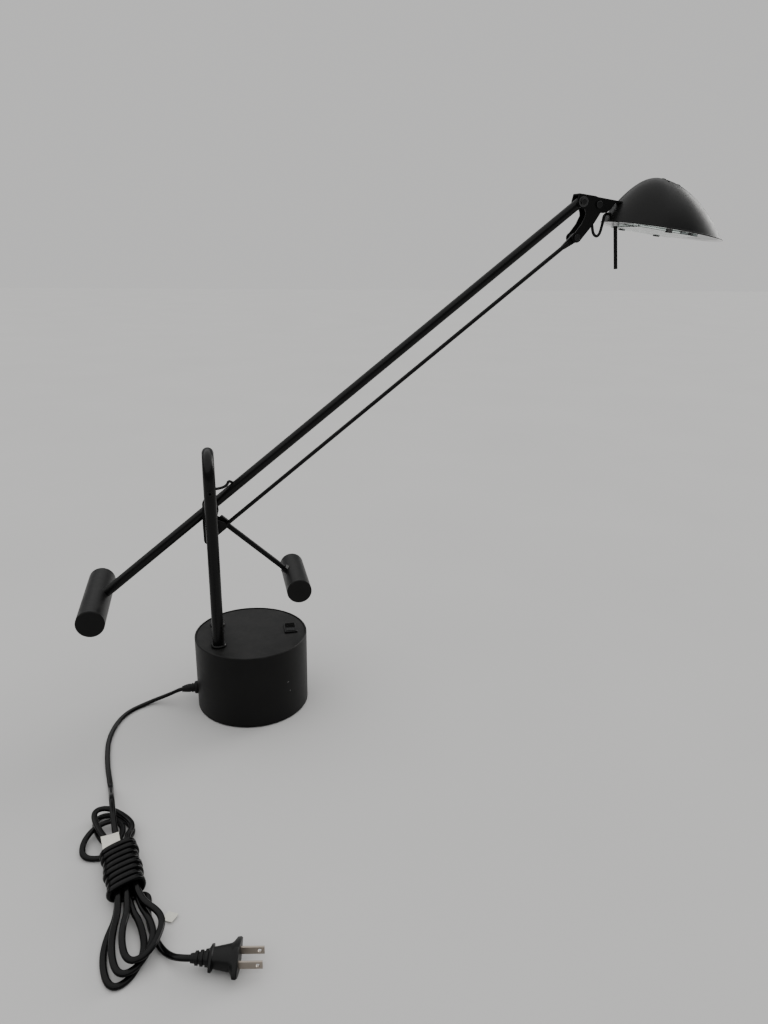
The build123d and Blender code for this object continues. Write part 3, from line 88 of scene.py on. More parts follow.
# The room is dim where it lights the lamp or mirrors in it, so that black stays black. Where it is seen
# directly, it is as pale as the table.
ROOM_COLOUR = (0.95, 0.97, 1.0, 1)
ROOM_LIGHT = 0.17
BACKDROP_COLOUR = (1.0, 0.995, 0.985, 1)
BACKDROP_LIGHT = 0.635
world = bpy.data.worlds.new("room")
world.use_nodes = True
room = world.node_tree.nodes["Background"]
room.inputs["Color"].default_value = ROOM_COLOUR
room.inputs["Strength"].default_value = ROOM_LIGHT
backdrop = world.node_tree.nodes.new("ShaderNodeBackground")
backdrop.inputs["Color"].default_value = BACKDROP_COLOUR
backdrop.inputs["Strength"].default_value = BACKDROP_LIGHT
seen_directly = world.node_tree.nodes.new("ShaderNodeLightPath")
either = world.node_tree.nodes.new("ShaderNodeMixShader")
world.node_tree.links.new(seen_directly.outputs["Is Camera Ray"], either.inputs[0])
world.node_tree.links.new(room.outputs[0], either.inputs[1])
world.node_tree.links.new(backdrop.outputs[0], either.inputs[2])
world.node_tree.links.new(either.outputs[0], world.node_tree.nodes["World Output"].inputs["Surface"])
bpy.context.scene.world = world


class Field:
    """A value that changes over a surface. Python's operators on it add Math nodes."""

    def __init__(self, tree, socket):
        self.tree = tree
        self.socket = socket

    def maths(self, operation, first, second):
        node = self.tree.nodes.new("ShaderNodeMath")
        node.operation = operation
        for socket, value in zip(node.inputs, (first, second)):
            if isinstance(value, Field):
                self.tree.links.new(value.socket, socket)
            else:
                socket.default_value = value
        return Field(self.tree, node.outputs[0])

    def __add__(self, other):
        return self.maths("ADD", self, other)

    def __radd__(self, other):
        return self.maths("ADD", other, self)

    def __sub__(self, other):
        return self.maths("SUBTRACT", self, other)

    def __rsub__(self, other):
        return self.maths("SUBTRACT", other, self)

    def __mul__(self, other):
        return self.maths("MULTIPLY", self, other)

    def __rmul__(self, other):
        return self.maths("MULTIPLY", other, self)


class Finish:
    """One material. Constants are set on its shader, and paint() links what changes over the surface."""

    CLOUD_ROUGHNESS = 0.55
    DUST_SLOPE, DUST_LEVEL = 0.25, 0.95
    SPOT_CORE = 0.4

    def __init__(self, name, **constants):
        self.material = bpy.data.materials.new(name)
        self.material.use_nodes = True
        self.tree = self.material.node_tree
        self.shader = self.tree.nodes["Principled BSDF"]
        for socket, value in constants.items():
            self.shader.inputs[socket.replace("_", " ").title().replace("Ior", "IOR")].default_value = value

    def node(self, kind, settings, sockets, output=0):
        """Add a node, give it its settings, then its sockets' values or links."""
        made = self.tree.nodes.new(kind)
        for name, value in settings.items():
            setattr(made, name, value)
        for key, value in sockets.items():
            if isinstance(value, Field):
                self.tree.links.new(value.socket, made.inputs[key])
            else:
                made.inputs[key].default_value = value
        return Field(self.tree, made.outputs[output])

    def place(self, stretch=(1, 1, 1)):
        """Where a point is on the piece, in metres, with each axis stretched."""
        point = self.node("ShaderNodeTexCoord", {}, {}, "Object")
        return self.node("ShaderNodeMapping", {}, {"Vector": point, "Scale": stretch})

    def noise(self, scale, detail=2.0, stretch=(1, 1, 1)):
        """Cloudy pattern from 0 to 1, with scale clouds to a metre."""
        return self.node("ShaderNodeTexNoise", {}, {
            "Vector": self.place(stretch), "Scale": scale, "Detail": detail,
            "Roughness": self.CLOUD_ROUGHNESS})

    def step(self, field, low, high):
        """0 where field is under low, 1 where it is over high, and smooth between them."""
        return self.node("ShaderNodeMapRange", {"interpolation_type": "SMOOTHSTEP"}, {
            "Value": field, "From Min": low, "From Max": high})

    def facing_up(self):
        """1 on a level top, 0 on a side and below."""
        normal = self.node("ShaderNodeNewGeometry", {}, {}, "Normal")
        upward = self.node("ShaderNodeSeparateXYZ", {}, {"Vector": normal}, "Z")
        return self.step(upward, self.DUST_SLOPE, self.DUST_LEVEL)

    def near(self, spot, radius):
        """1 at a spot of the piece, 0 further away than radius."""
        away = self.node(
            "ShaderNodeVectorMath", {"operation": "DISTANCE"}, {0: self.place(), 1: spot}, "Value")
        return 1 - self.step(away, radius * self.SPOT_CORE, radius)

    def mixed(self, first, second, share):
        """Colour between two others. A Mix node's colours are its sockets 6 and 7 and its output 2."""
        return self.node("ShaderNodeMix", {"data_type": "RGBA"}, {0: share, 6: first, 7: second}, 2)

    def paint(self, **fields):
        """Link fields to the shader's Base Color, Roughness and so on."""
        for socket, field in fields.items():
            self.tree.links.new(field.socket, self.shader.inputs[socket.replace("_", " ").title()])

    def relief(self, height, depth):
        """Raise and sink the surface by a field, depth metres from 0 to 1."""
        bump = self.node("ShaderNodeBump", {}, {"Strength": 1.0, "Distance": depth, "Height": height})
        self.paint(normal=bump)


def grey(value, warm=0.0):
    """An even grey, slightly warm or cool."""
    return (value * (1 + warm), value, value * (1 - warm), 1)


def link_piece(name, mesh, finish):
    """Put a finished mesh in the scene with its material."""
    piece = bpy.data.objects.new(name, mesh)
    bpy.context.scene.collection.objects.link(piece)
    mesh.materials.clear()
    mesh.materials.append(finish.material)
    return piece


FLOOR_HALF = 9.0
FLOOR_GAP = 0.0001
pale = Finish("pale_table", roughness=0.85, specular_ior_level=0.1)
pale.paint(base_color=pale.mixed(grey(0.53, 0.01), grey(0.57, 0.01), pale.noise(scale=3)))
sheet = bmesh.new()
bmesh.ops.create_grid(sheet, x_segments=1, y_segments=1, size=FLOOR_HALF)
bmesh.ops.translate(sheet, vec=(0, 0, -FLOOR_GAP), verts=sheet.verts)
floor_mesh = bpy.data.meshes.new("floor")
sheet.to_mesh(floor_mesh)
sheet.free()
link_piece("floor", floor_mesh, pale)

# ---------------------------------------------------------------- base drum
# A drawn steel drum with a round top plate let in just below its rim. Both are sprayed with satin black
# enamel, which has a fine orange peel, a little dust on the level faces and a few pale knocks.
KNOCKS = ((0.0361, -0.0522, 0.0468), (0.0383, -0.0506, 0.0350))
KNOCK_RADIUS = 0.0012
SOFT_SHINE = 0.16
ENAMEL_DARKEST = 0.0028
ENAMEL_BLACK = grey(ENAMEL_DARKEST)
ENAMEL_PALER = grey(ENAMEL_DARKEST * 2.4, 0.02)
RUBBED_EDGE = grey(0.05)
KNOCKED_PAINT = grey(0.34, 0.02)
DUST = grey(0.13, 0.03)
ORANGE_PEEL_DEPTH = 0.00001


def enamel(name, gloss=0.34, dust=0.05, knocks=()):
    """Satin black enamel on steel, with a share of dust on top and pale knocks at places."""
    finish = Finish(name, specular_ior_level=SOFT_SHINE)
    cloudy = finish.noise(scale=28, detail=4)
    handled = finish.noise(scale=160, detail=3)
    peel = finish.noise(scale=1400, detail=1)
    rubbed = finish.step(finish.noise(scale=420, detail=3, stretch=(1, 1, 0.08)), 0.70, 0.80)
    settled = finish.facing_up() * finish.step(finish.noise(scale=55, detail=5), 0.30, 0.75)
    specks = finish.step(finish.noise(scale=2600, detail=0), 0.70, 0.78) * finish.facing_up()
    body = finish.mixed(ENAMEL_BLACK, ENAMEL_PALER, cloudy)
    dusty = finish.mixed(body, DUST, settled * dust + specks * dust)
    worn = finish.mixed(dusty, RUBBED_EDGE, rubbed * 0.10)
    bare = 0
    for spot in knocks:
        ragged = finish.step(finish.noise(scale=1900, detail=2), 0.46, 0.58)
        bare = bare + finish.near(spot, KNOCK_RADIUS) * ragged
    colour = finish.mixed(worn, KNOCKED_PAINT, bare) if knocks else worn
    finish.paint(base_color=colour, roughness=gloss + handled * 0.14 + settled * 0.12 - rubbed * 0.06)
    finish.relief(peel * 0.7 + handled * 0.3, ORANGE_PEEL_DEPTH)
    return finish


def dress(finish, *names):
    """Give CAD nodes a finish."""
    for name in names:
        nodes[name].data.materials.clear()
        nodes[name].data.materials.append(finish.material)


drum_enamel = enamel("drum_enamel", gloss=0.38, dust=0.10, knocks=KNOCKS)
dress(drum_enamel, "base_shell", "base_top")

# ---------------------------------------------------------------- bottom plate, its screws and the pad
# A heavy zinc-plated plate closes the drum from below, held by three countersunk screws into the lugs.
# A round of black felt is glued under it.
DULL_SHARE = 0.72
TURNING_DEPTH = 0.00002
FELT_DEPTH = 0.0003


def plated_steel(name, shade=0.55, warm=0.0, gloss=0.30):
    """Bright zinc or bare steel with fine turning marks and dull patches."""
    finish = Finish(name, metallic=1.0)
    patches = finish.noise(scale=90, detail=4)
    lines = finish.noise(scale=900, detail=2, stretch=(1, 1, 0.1))
    finish.paint(
        base_color=finish.mixed(grey(shade * DULL_SHARE, warm), grey(shade, warm), patches),
        roughness=gloss + patches * 0.16 + lines * 0.08)
    finish.relief(lines, TURNING_DEPTH)
    return finish


zinc = plated_steel("zinc_plate")
dress(zinc, "base_plate", "plate_screws", "transformer_strap", "transformer_screws", "hoop_nuts")

felt = Finish("black_felt", roughness=0.95, sheen_weight=0.4, sheen_roughness=0.6)
hairs = felt.noise(scale=2400, detail=3)
felt.paint(base_color=felt.mixed(grey(0.012), grey(0.045, 0.03), hairs))
felt.relief(hairs, FELT_DEPTH)
dress(felt, "base_pad")

# ---------------------------------------------------------------- transformer
# A laminated steel core with a nylon bobbin and an enamelled copper winding, strapped to the bottom plate.
# The wires to the switch and the cord run round it.
LEAF_DEPTH = 0.0001
STRAND_DEPTH = 0.0002
DARK_COPPER = (0.30, 0.09, 0.03, 1)
BRIGHT_COPPER = (0.62, 0.24, 0.10, 1)
LINT = grey(0.12, 0.03)

core_steel = Finish("core_laminations", metallic=0.9)
leaves = core_steel.step(core_steel.noise(scale=60, detail=0, stretch=(0.02, 30, 0.02)), 0.44, 0.56)
core_steel.paint(
    base_color=core_steel.mixed(grey(0.10, 0.05), grey(0.30, 0.02), leaves),
    roughness=0.42 + core_steel.noise(scale=200, detail=3) * 0.2)
core_steel.relief(leaves, LEAF_DEPTH)
dress(core_steel, "transformer_core")

copper = Finish("winding_copper", metallic=0.85)
strands = copper.noise(scale=70, detail=0, stretch=(0.02, 0.02, 30))
copper.paint(
    base_color=copper.mixed(DARK_COPPER, BRIGHT_COPPER, strands),
    roughness=0.30 + copper.noise(scale=300, detail=2) * 0.15)
copper.relief(strands, STRAND_DEPTH)
dress(copper, "transformer_winding")


def moulded(name, dark, light, gloss, warm=0.0, texture=900, depth=0.00005, shine=SOFT_SHINE):
    """Moulded plastic or rubber, between two greys, with a fine mould texture."""
    finish = Finish(name, specular_ior_level=shine)
    flow = finish.noise(scale=45, detail=3)
    pores = finish.noise(scale=texture, detail=2)
    lint = finish.facing_up() * finish.step(finish.noise(scale=700, detail=4), 0.60, 0.72)
    body = finish.mixed(grey(dark, warm), grey(light, warm), flow)
    finish.paint(
        base_color=finish.mixed(body, LINT, lint * 0.08),
        roughness=gloss + flow * 0.10 + pores * 0.06)
    finish.relief(pores, depth)
    return finish


nylon = moulded("black_nylon", dark=0.006, light=0.012, gloss=0.44)
dress(nylon, "transformer_bobbin", "arm_axle_bush", "arm_tip_bush", "axle_spacers", "lower_pin_spacers",
      "link_pin_spacers")

vinyl = moulded("wire_vinyl", dark=0.004, light=0.009, gloss=0.30, texture=1600)
dress(vinyl, "base_wires", "post_cable", "arm_wires", "lamp_leads")

# ---------------------------------------------------------------- rocker switch
# A snap-in rocker switch sits in the top plate, with its far half pressed down. The rocker is of glossier
# black plastic than the bezel.
bezel_plastic = moulded("bezel_plastic", dark=0.002, light=0.005, gloss=0.30, texture=2200, depth=0.00002)
dress(bezel_plastic, "switch_body")
rocker_plastic = moulded("rocker_plastic", dark=0.004, light=0.008, gloss=0.10, texture=2200,
                         depth=0.00001, shine=0.4)
dress(rocker_plastic, "switch_rocker")

# ---------------------------------------------------------------- hoop, its collars and the axle
# A bent steel tube stands with both feet in the base, behind two collars, and carries the arm's axle.
# A small rubber ring lines the cable's hole in the near leg.
post_enamel = enamel("post_enamel", gloss=0.20, dust=0.04)
dress(post_enamel, "hoop_tube", "hoop_collars")

blued = plated_steel("blackened_steel", shade=0.045, gloss=0.32)
dress(blued, "axle_bolt", "weight_rod_nut", "counterweight_screw", "neck_bolt", "lower_pin", "link_pin")

rubber = moulded("black_rubber", dark=0.006, light=0.012, gloss=0.42, texture=1500)
dress(rubber, "leg_grommet")

# ---------------------------------------------------------------- balance bracket and its weight
# Two steel plates on the axle hold the rod of the small counterweight and the link's lower pin. Both
# counterweights are solid steel cylinders, enamelled like the rest.
bracket_enamel = enamel("bracket_enamel", gloss=0.34, dust=0.04)
dress(bracket_enamel, "near_balance_plate", "far_balance_plate", "weight_rod_block", "weight_rod")
weight_enamel = enamel("weight_enamel", gloss=0.30, dust=0.05)
dress(weight_enamel, "lower_counterweight", "upper_counterweight")

# ---------------------------------------------------------------- arm and link
# The arm is a straight steel tube. A thin link rod runs below it from the balance bracket to the knuckle,
# so that the head stays level as the arm swings.
arm_enamel = enamel("arm_enamel", gloss=0.20, dust=0.03)
dress(arm_enamel, "arm_tube", "link_rod")

# ---------------------------------------------------------------- knuckle
# A folded steel bracket on the arm's tip. Its pins are riveted over, and the upper one's washers have lost
# some of their black.
dress(bracket_enamel, "knuckle_bracket")
dress(blued, "upper_pin")
rubbed_steel = plated_steel("rubbed_steel", shade=0.11, gloss=0.30)
dress(rubbed_steel, "upper_pin_washers")

# ---------------------------------------------------------------- head
# A drawn shade, black outside and bright inside, with two vent slots in its crown. The reflector closes it
# from below, and a glass pane is held over the lamp by three clips.
HEAD_FOOT = Vector((0.4432, 0.0, 0.530))
HEAD_TILT = math.radians(7.3)
SHADE_FRONT = 0.0898
SHADE_BACK = 0.0521
SHADE_HALF_WIDTH = 0.0457
SHADE_CROWN = 0.0522
RIM_RADIUS = 0.0008
RIM_INSET = RIM_RADIUS * 1.3
RIM_STEPS = 128
THIN_CORNERS = 10
VENTS_AT = (0.006, 0.024)
LIP_BACK = 0.0022
LIP_HALF_LENGTH = 0.0112
LIP_RADIUS = 0.00055
LIP_STEPS = 16
LIP_STAND = 0.0001
LIP_DIP = 0.0012
LIP_DIP_POWER = 6
INSIDE_BAND = 0.004
DIMPLE_DEPTH = 0.00008


def in_head(x, z, y=0.0):
    """Point counted from the foot of the shade's crown, in the tilted plane of its rim."""
    return HEAD_FOOT + Vector((x * math.cos(HEAD_TILT) + z * math.sin(HEAD_TILT), y,
                               z * math.cos(HEAD_TILT) - x * math.sin(HEAD_TILT)))


SHADE_MIDDLE = in_head(0.012, -0.004)

shade_enamel = enamel("shade_enamel", gloss=0.30, dust=0.04)
outward = shade_enamel.node("ShaderNodeVectorMath", {"operation": "DOT_PRODUCT"}, {
    0: shade_enamel.node("ShaderNodeNewGeometry", {}, {}, "Normal"),
    1: shade_enamel.node("ShaderNodeVectorMath", {"operation": "SUBTRACT"}, {
        0: shade_enamel.place(), 1: SHADE_MIDDLE})}, "Value")
inside = 1 - shade_enamel.step(outward, -INSIDE_BAND, 0.0)
outside_colour = Field(shade_enamel.tree, shade_enamel.shader.inputs["Base Color"].links[0].from_socket)
outside_gloss = Field(shade_enamel.tree, shade_enamel.shader.inputs["Roughness"].links[0].from_socket)
shade_enamel.paint(
    base_color=shade_enamel.mixed(outside_colour, grey(0.78), inside),
    roughness=outside_gloss * (1 - inside) + inside * 0.30,
    metallic=inside)
dress(shade_enamel, "shade_shell")
rim_enamel = enamel("rim_enamel", gloss=0.26, dust=0.03)
dress(rim_enamel, "handle_rod")
dress(bracket_enamel, "neck_bracket")
bright_pin = plated_steel("bright_pin", shade=0.62, gloss=0.26)
dress(bright_pin, "handle_nuts", "lamp_pins")

GRID_HALF = 0.5
MERGE_WITHIN = 0.000001
SWEPT_CREASE = math.radians(40)


def sweep(name, path, facings, outline, finish, closed=False):
    """A piece of one outline carried along a path, with its thin side turned to the facings."""
    rows, corners = len(path) - (0 if closed else 1), len(outline)
    before = path[-1:] + path[:-1] if closed else path[:1] + path[:-1]
    after = path[1:] + path[:1] if closed else path[1:] + path[-1:]
    frames = []
    for start, end, facing in zip(before, after, facings):
        along = (end - start).normalized()
        thin = (facing - along * facing.dot(along)).normalized()
        frames.append((along.cross(thin), thin))
    swept = bmesh.new()
    bmesh.ops.create_grid(swept, x_segments=corners, y_segments=rows, size=GRID_HALF)
    for vert in swept.verts:
        corner = round((vert.co.x + GRID_HALF) * corners) % corners
        row = round((vert.co.y + GRID_HALF) * rows) % len(path)
        across, up = outline[corner]
        sideways, thin = frames[row]
        vert.co = path[row] + sideways * across + thin * up
    bmesh.ops.remove_doubles(swept, verts=swept.verts, dist=MERGE_WITHIN)
    open_ends = [edge for edge in swept.edges if edge.is_boundary]
    if open_ends:
        bmesh.ops.holes_fill(swept, edges=open_ends, sides=0)
    bmesh.ops.recalc_face_normals(swept, faces=swept.faces)
    for face in swept.faces:
        face.smooth = True
    mesh = bpy.data.meshes.new(name)
    swept.to_mesh(mesh)
    swept.free()
    mesh.set_sharp_from_angle(angle=SWEPT_CREASE)
    return link_piece(name, mesh, finish)


def round_outline(radius, corners=16):
    """A circle's corners."""
    turns = [2 * math.pi * corner / corners for corner in range(corners)]
    return [(radius * math.cos(turn), radius * math.sin(turn)) for turn in turns]


def crown(x, y):
    """Height of the shade's outside over a point of its rim plane."""
    reach = SHADE_FRONT if x > 0 else SHADE_BACK
    return SHADE_CROWN * (1 - (x / reach) ** 2 - (y / SHADE_HALF_WIDTH) ** 2)


rim_path = []
for step in range(RIM_STEPS):
    turn = 2 * math.pi * step / RIM_STEPS
    reach = (SHADE_FRONT if math.cos(turn) > 0 else SHADE_BACK) - RIM_INSET
    half_width = SHADE_HALF_WIDTH - RIM_RADIUS
    rim_path.append(in_head(reach * math.cos(turn), RIM_RADIUS, half_width * math.sin(turn)))
rim_up = in_head(0, 1) - in_head(0, 0)
shade_rim = sweep("shade_rim", rim_path, [rim_up] * RIM_STEPS, round_outline(RIM_RADIUS, THIN_CORNERS),
                  rim_enamel, closed=True)
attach(shade_rim, "head")

for number, vent in enumerate(VENTS_AT, 1):
    lip_path = []
    for step in range(LIP_STEPS + 1):
        share = 2 * step / LIP_STEPS - 1
        x, y = vent - LIP_BACK, share * LIP_HALF_LENGTH
        stand = LIP_STAND - LIP_DIP * share ** LIP_DIP_POWER
        lip_path.append(in_head(x, crown(x, y) + stand, y))
    lip = sweep(f"vent_lip_{number}", lip_path, [rim_up] * len(lip_path),
                round_outline(LIP_RADIUS, THIN_CORNERS), rim_enamel)
    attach(lip, "head")

mirror = Finish("bright_aluminium", metallic=1.0)
dimples = mirror.noise(scale=420, detail=1)
mirror.paint(
    base_color=mirror.mixed(grey(0.34), grey(0.56), mirror.noise(scale=60, detail=3)),
    roughness=0.24 + mirror.noise(scale=150, detail=3) * 0.16)
mirror.relief(dimples, DIMPLE_DEPTH)
dress(mirror, "reflector")
dress(rubbed_steel, "glass_clips")

glass = Finish("clear_glass", transmission_weight=1.0, ior=1.5)
film = glass.noise(scale=120, detail=4)
glass.paint(
    base_color=glass.mixed((0.78, 0.90, 0.86, 1), (0.88, 0.96, 0.93, 1), film),
    roughness=0.03 + glass.step(film, 0.5, 0.8) * 0.12)
dress(glass, "glass_pane", "halogen_lamp")

ceramic = moulded("ceramic", dark=0.62, light=0.74, gloss=0.55, warm=0.04)
dress(ceramic, "lamp_holder")

# ---------------------------------------------------------------- low-voltage cables
# Two conductors in one black vinyl sleeve come out of the near leg and loop into the arm, and a second
# loop leaves the arm's tip for the shade, long enough for the head to tilt.
CABLE_RADIUS = 0.0015
ARM_ANGLE = math.radians(38.4)
ARM_LENGTH = 0.508
AXLE = Vector((-0.0371, 0.0, 0.2401))
ARM_TIP = AXLE + ARM_LENGTH * Vector((math.cos(ARM_ANGLE), 0, math.sin(ARM_ANGLE)))
ROUTE_STEPS = 8
LEAST_STEP = 0.00002
TURNING_SHARE = 0.3
UPWARD = Vector((0, 0, 1))


def on_arm(along, up, y=0.0):
    """Point counted from the axle, along the arm and square to it."""
    return AXLE + Vector((along * math.cos(ARM_ANGLE) - up * math.sin(ARM_ANGLE), y,
                          along * math.sin(ARM_ANGLE) + up * math.cos(ARM_ANGLE)))


def route_spline(name, points):
    """A cord's route: one smooth open spline with the points as its control points."""
    route = bpy.data.curves.new(name, "CURVE")
    route.dimensions = "3D"
    route.resolution_u = ROUTE_STEPS
    spline = route.splines.new("NURBS")
    spline.points.add(len(points) - 1)
    for control, point in zip(spline.points, points):
        control.co = (*point, 1)
    spline.order_u = 3
    spline.use_endpoint_u = True
    return route


def as_mesh(curve):
    """The mesh that a curve makes, and nothing left behind."""
    holder = bpy.data.objects.new("holder", curve)
    bpy.context.scene.collection.objects.link(holder)
    bpy.context.view_layer.update()
    made = bpy.data.meshes.new_from_object(holder.evaluated_get(bpy.context.evaluated_depsgraph_get()))
    bpy.data.objects.remove(holder)
    return made


def follow(name, points, finish, outline, flat_side=None):
    """A cord swept along its route's spline, and the points that its middle follows."""
    route = route_spline(name, points)
    line = as_mesh(route)
    path = [line.vertices[0].co.copy()]
    for vertex in line.vertices:
        if (vertex.co - path[-1]).length > LEAST_STEP:
            path.append(vertex.co.copy())
    bpy.data.meshes.remove(line)
    bpy.data.curves.remove(route)
    facing = UPWARD
    facings = []
    for start, place in zip(path[:1] + path[:-1], path[:1] + path[1:]):
        wanted = flat_side(place) if flat_side else facing
        facing = facing.lerp(wanted if wanted.dot(facing) > 0 else -wanted, TURNING_SHARE)
        along = (place - start).normalized()
        facing = (facing - along * facing.dot(along)).normalized()
        facings.append(facing)
    return sweep(name, path, facings, outline, finish), path


hoop_loop_points = [
    (-0.0371, -0.01885, 0.264), (-0.0371, -0.01285, 0.264), (-0.029, -0.0075, 0.2616),
    (-0.019, -0.0045, 0.2635), on_arm(0.0345, 0.0105, -0.0006), on_arm(0.0357, 0.001),
]
hoop_loop, hoop_loop_path = follow("hoop_loop", hoop_loop_points, vinyl, round_outline(CABLE_RADIUS))
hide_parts("hoop_loop_cable")
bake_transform(hoop_loop)

head_loop_points = [
    ARM_TIP + Vector((0.0074, 0, 0.0006)), ARM_TIP + Vector((0.0096, 0, -0.006)),
    ARM_TIP + Vector((0.0158, 0, -0.0195)), ARM_TIP + Vector((0.0184, 0, -0.0326)),
    ARM_TIP + Vector((0.0254, 0, -0.0344)), ARM_TIP + Vector((0.0286, 0, -0.020)),
    in_head(-0.0545, 0.0086), in_head(-0.048, 0.0086),
]
head_loop, head_loop_path = follow("head_loop", head_loop_points, vinyl, round_outline(CABLE_RADIUS))
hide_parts("head_loop_cable")
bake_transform(head_loop)

# ---------------------------------------------------------------- mains cord
# A flat twin cord of glossy black vinyl. It leaves the base at the side, drops to the table and runs to a
# hank of three flattened loops. Eight turns of its own far end bind them at the waist, and the plug lies
# beside.
CORD_WIDTH = 0.0054
LOBE_RADIUS = 0.0019
LOBE_OFFSET = CORD_WIDTH / 2 - LOBE_RADIUS
LYING = LOBE_RADIUS + 0.0001
LAYER_SHARE = 0.8
HANK_CENTRE = Vector((-0.1245, -0.266, 0))
HANK_ANGLE = math.radians(102.7)
HANK_UP = Vector((math.cos(HANK_ANGLE), math.sin(HANK_ANGLE), 0))
HANK_RIGHT = Vector((HANK_UP.y, -HANK_UP.x, 0))
WAIST_TOP = 0.044
WAIST_BOTTOM = -0.036
WAIST_STAGGER = 0.004
WAIST_PITCH = 0.0064
LOW_ROW = 0.0089
HIGH_ROW = 0.0151
ROUND_RADIUS = 0.0027
WRAP_TURNS = 8
WRAP_STEPS = 16
WRAP_PITCH = 0.0065
WRAP_START = 0.032
WRAP_HALF_WIDTH = 0.0138
WRAP_TOP = 0.0214
WRAP_FLAT = 2.2
WRAP_UNEVEN = 0.06
WRAP_UNEVEN_RATE = 0.9
WRAP_SLANT = 0.20
WRAP_PHASE = 0.125
WRAP_SHELL = 0.82


def on_hank(along, across, height):
    """Point of the hank: along its axis to its top end, across to its right, and a round cord's height."""
    lying = LYING + (height - ROUND_RADIUS) * LAYER_SHARE
    return HANK_CENTRE + HANK_UP * along + HANK_RIGHT * across + Vector((0, 0, lying))


def bottom_turn(left, right, end, heights):
    """A loop's lower end, from its left strand round to its right strand."""
    corners = ((-0.062, left), (end, left), (end, (left + right) / 2),
               (end + 0.022, right), (-0.053, right))
    return [(along, across, height) for (along, across), height in zip(corners, heights)]


def top_turn(heights):
    """A loop's upper end, from its right strand round to its left strand."""
    corners = ((0.055, 0.0165), (0.073, 0.013), (0.091, -0.001), (0.088, -0.015), (0.064, -0.014))
    return [(along, across, height) for (along, across), height in zip(corners, heights)]


def waist(column, height, upward):
    """A strand's straight stretch under the wraps."""
    stagger = WAIST_STAGGER * abs(column)
    ends = [(WAIST_BOTTOM + stagger, column * WAIST_PITCH, height),
            (WAIST_TOP - stagger, column * WAIST_PITCH, height)]
    return ends if upward else ends[::-1]


def wrap_point(step):
    """Point of the binding turns, which slant round the strands and are each a little wider or narrower."""
    turn = 2 * math.pi * (step / WRAP_STEPS - WRAP_PHASE)
    side, rise = math.cos(turn), math.sin(turn)
    width = WRAP_HALF_WIDTH * (1 + WRAP_UNEVEN * math.sin(WRAP_UNEVEN_RATE * turn / math.pi))
    half_height = (WRAP_TOP - ROUND_RADIUS) / 2
    round_end = half_height * LAYER_SHARE
    across = (width - round_end) * max(-1, min(1, WRAP_FLAT * side)) + round_end * side
    height = ROUND_RADIUS + half_height * (1 + rise)
    slant = WRAP_SLANT * across * rise
    return WRAP_START - WRAP_PITCH * step / WRAP_STEPS + slant, across, height


lead_over = [
    (0.138, 0.0054, 0.0027), (0.126, 0.0049, 0.0027), (0.099, 0.0032, 0.0176), (0.084, 0.002, 0.019),
    (0.062, 0.0005, 0.017),
]
last_top = [
    (0.058, 0.009, 0.0088), (0.075, 0.003, 0.0091), (0.072, -0.015, 0.0091), (0.058, -0.028, 0.0058),
    (0.039, -0.029, 0.0027),
]
WRAP_FIRST = -2
WRAP_LAST = WRAP_STEPS * WRAP_TURNS - 1
wraps = [wrap_point(step) for step in range(WRAP_FIRST, WRAP_LAST)]
under_exit = [(-0.020, 0.017, 0.0027), (-0.040, 0.012, 0.0027), (-0.050, 0.012, 0.0027)]
hank_places = (
    lead_over
    + waist(0, HIGH_ROW, upward=False)
    + bottom_turn(-0.011, 0.020, -0.090, (0.0151, 0.0149, 0.0147, 0.0149, 0.0156))
    + waist(1, HIGH_ROW, upward=True)
    + top_turn((0.0122, 0.0092, 0.012, 0.0151, 0.0153))
    + waist(-1, HIGH_ROW, upward=False)
    + bottom_turn(-0.019, 0.0125, -0.094, (0.0087, 0.0087, 0.0087, 0.009, 0.0095))
    + waist(1, LOW_ROW, upward=True)
    + top_turn((0.0056, 0.0027, 0.0027, 0.0027, 0.0027))
    + waist(-1, LOW_ROW, upward=False)
    + bottom_turn(-0.026, 0.005, -0.098, (0.0027, 0.0027, 0.0027, 0.0027, 0.0093))
    + waist(0, LOW_ROW, upward=True)
    + last_top + wraps + under_exit
)
hank_points = [on_hank(*place) for place in hank_places]
CORD_EXIT = Vector((-0.072, 0, 0.021))
LEAD_STRAIGHT = 0.034
lead_points = [
    CORD_EXIT, (-0.082, 0, 0.021), (-0.095, 0.0085, 0.0105), (-0.119, 0.010, LOBE_RADIUS),
    (-0.147, -0.010, LOBE_RADIUS), (-0.1588, -0.052, LOBE_RADIUS),
    hank_points[0] - (hank_points[1] - hank_points[0]).normalized() * LEAD_STRAIGHT,
]
PLUG_ANGLE = math.radians(-11.0)
PLUG_DIRECTION = Vector((math.cos(PLUG_ANGLE), math.sin(PLUG_ANGLE), 0))
PLUG_ENTRY = Vector((-0.0695, -0.3595, 0.0096))
TAIL_STRAIGHT = 0.012
NECK_STRAIGHT = 0.008
tail_points = [
    hank_points[-1] + (hank_points[-1] - hank_points[-2]).normalized() * TAIL_STRAIGHT,
    (-0.0925, -0.3386, LOBE_RADIUS), (-0.0855, -0.3495, 0.0047),
    PLUG_ENTRY - PLUG_DIRECTION * NECK_STRAIGHT, PLUG_ENTRY,
]
LOBE_CORNERS = 9
LOBE_START = -112
LOBE_TURN = 28
twin_outline = []
for side in (1, -1):
    for corner in range(LOBE_CORNERS):
        turn = math.radians(LOBE_START + LOBE_TURN * corner)
        twin_outline.append((side * (LOBE_OFFSET + LOBE_RADIUS * math.cos(turn)),
                             side * LOBE_RADIUS * math.sin(turn)))

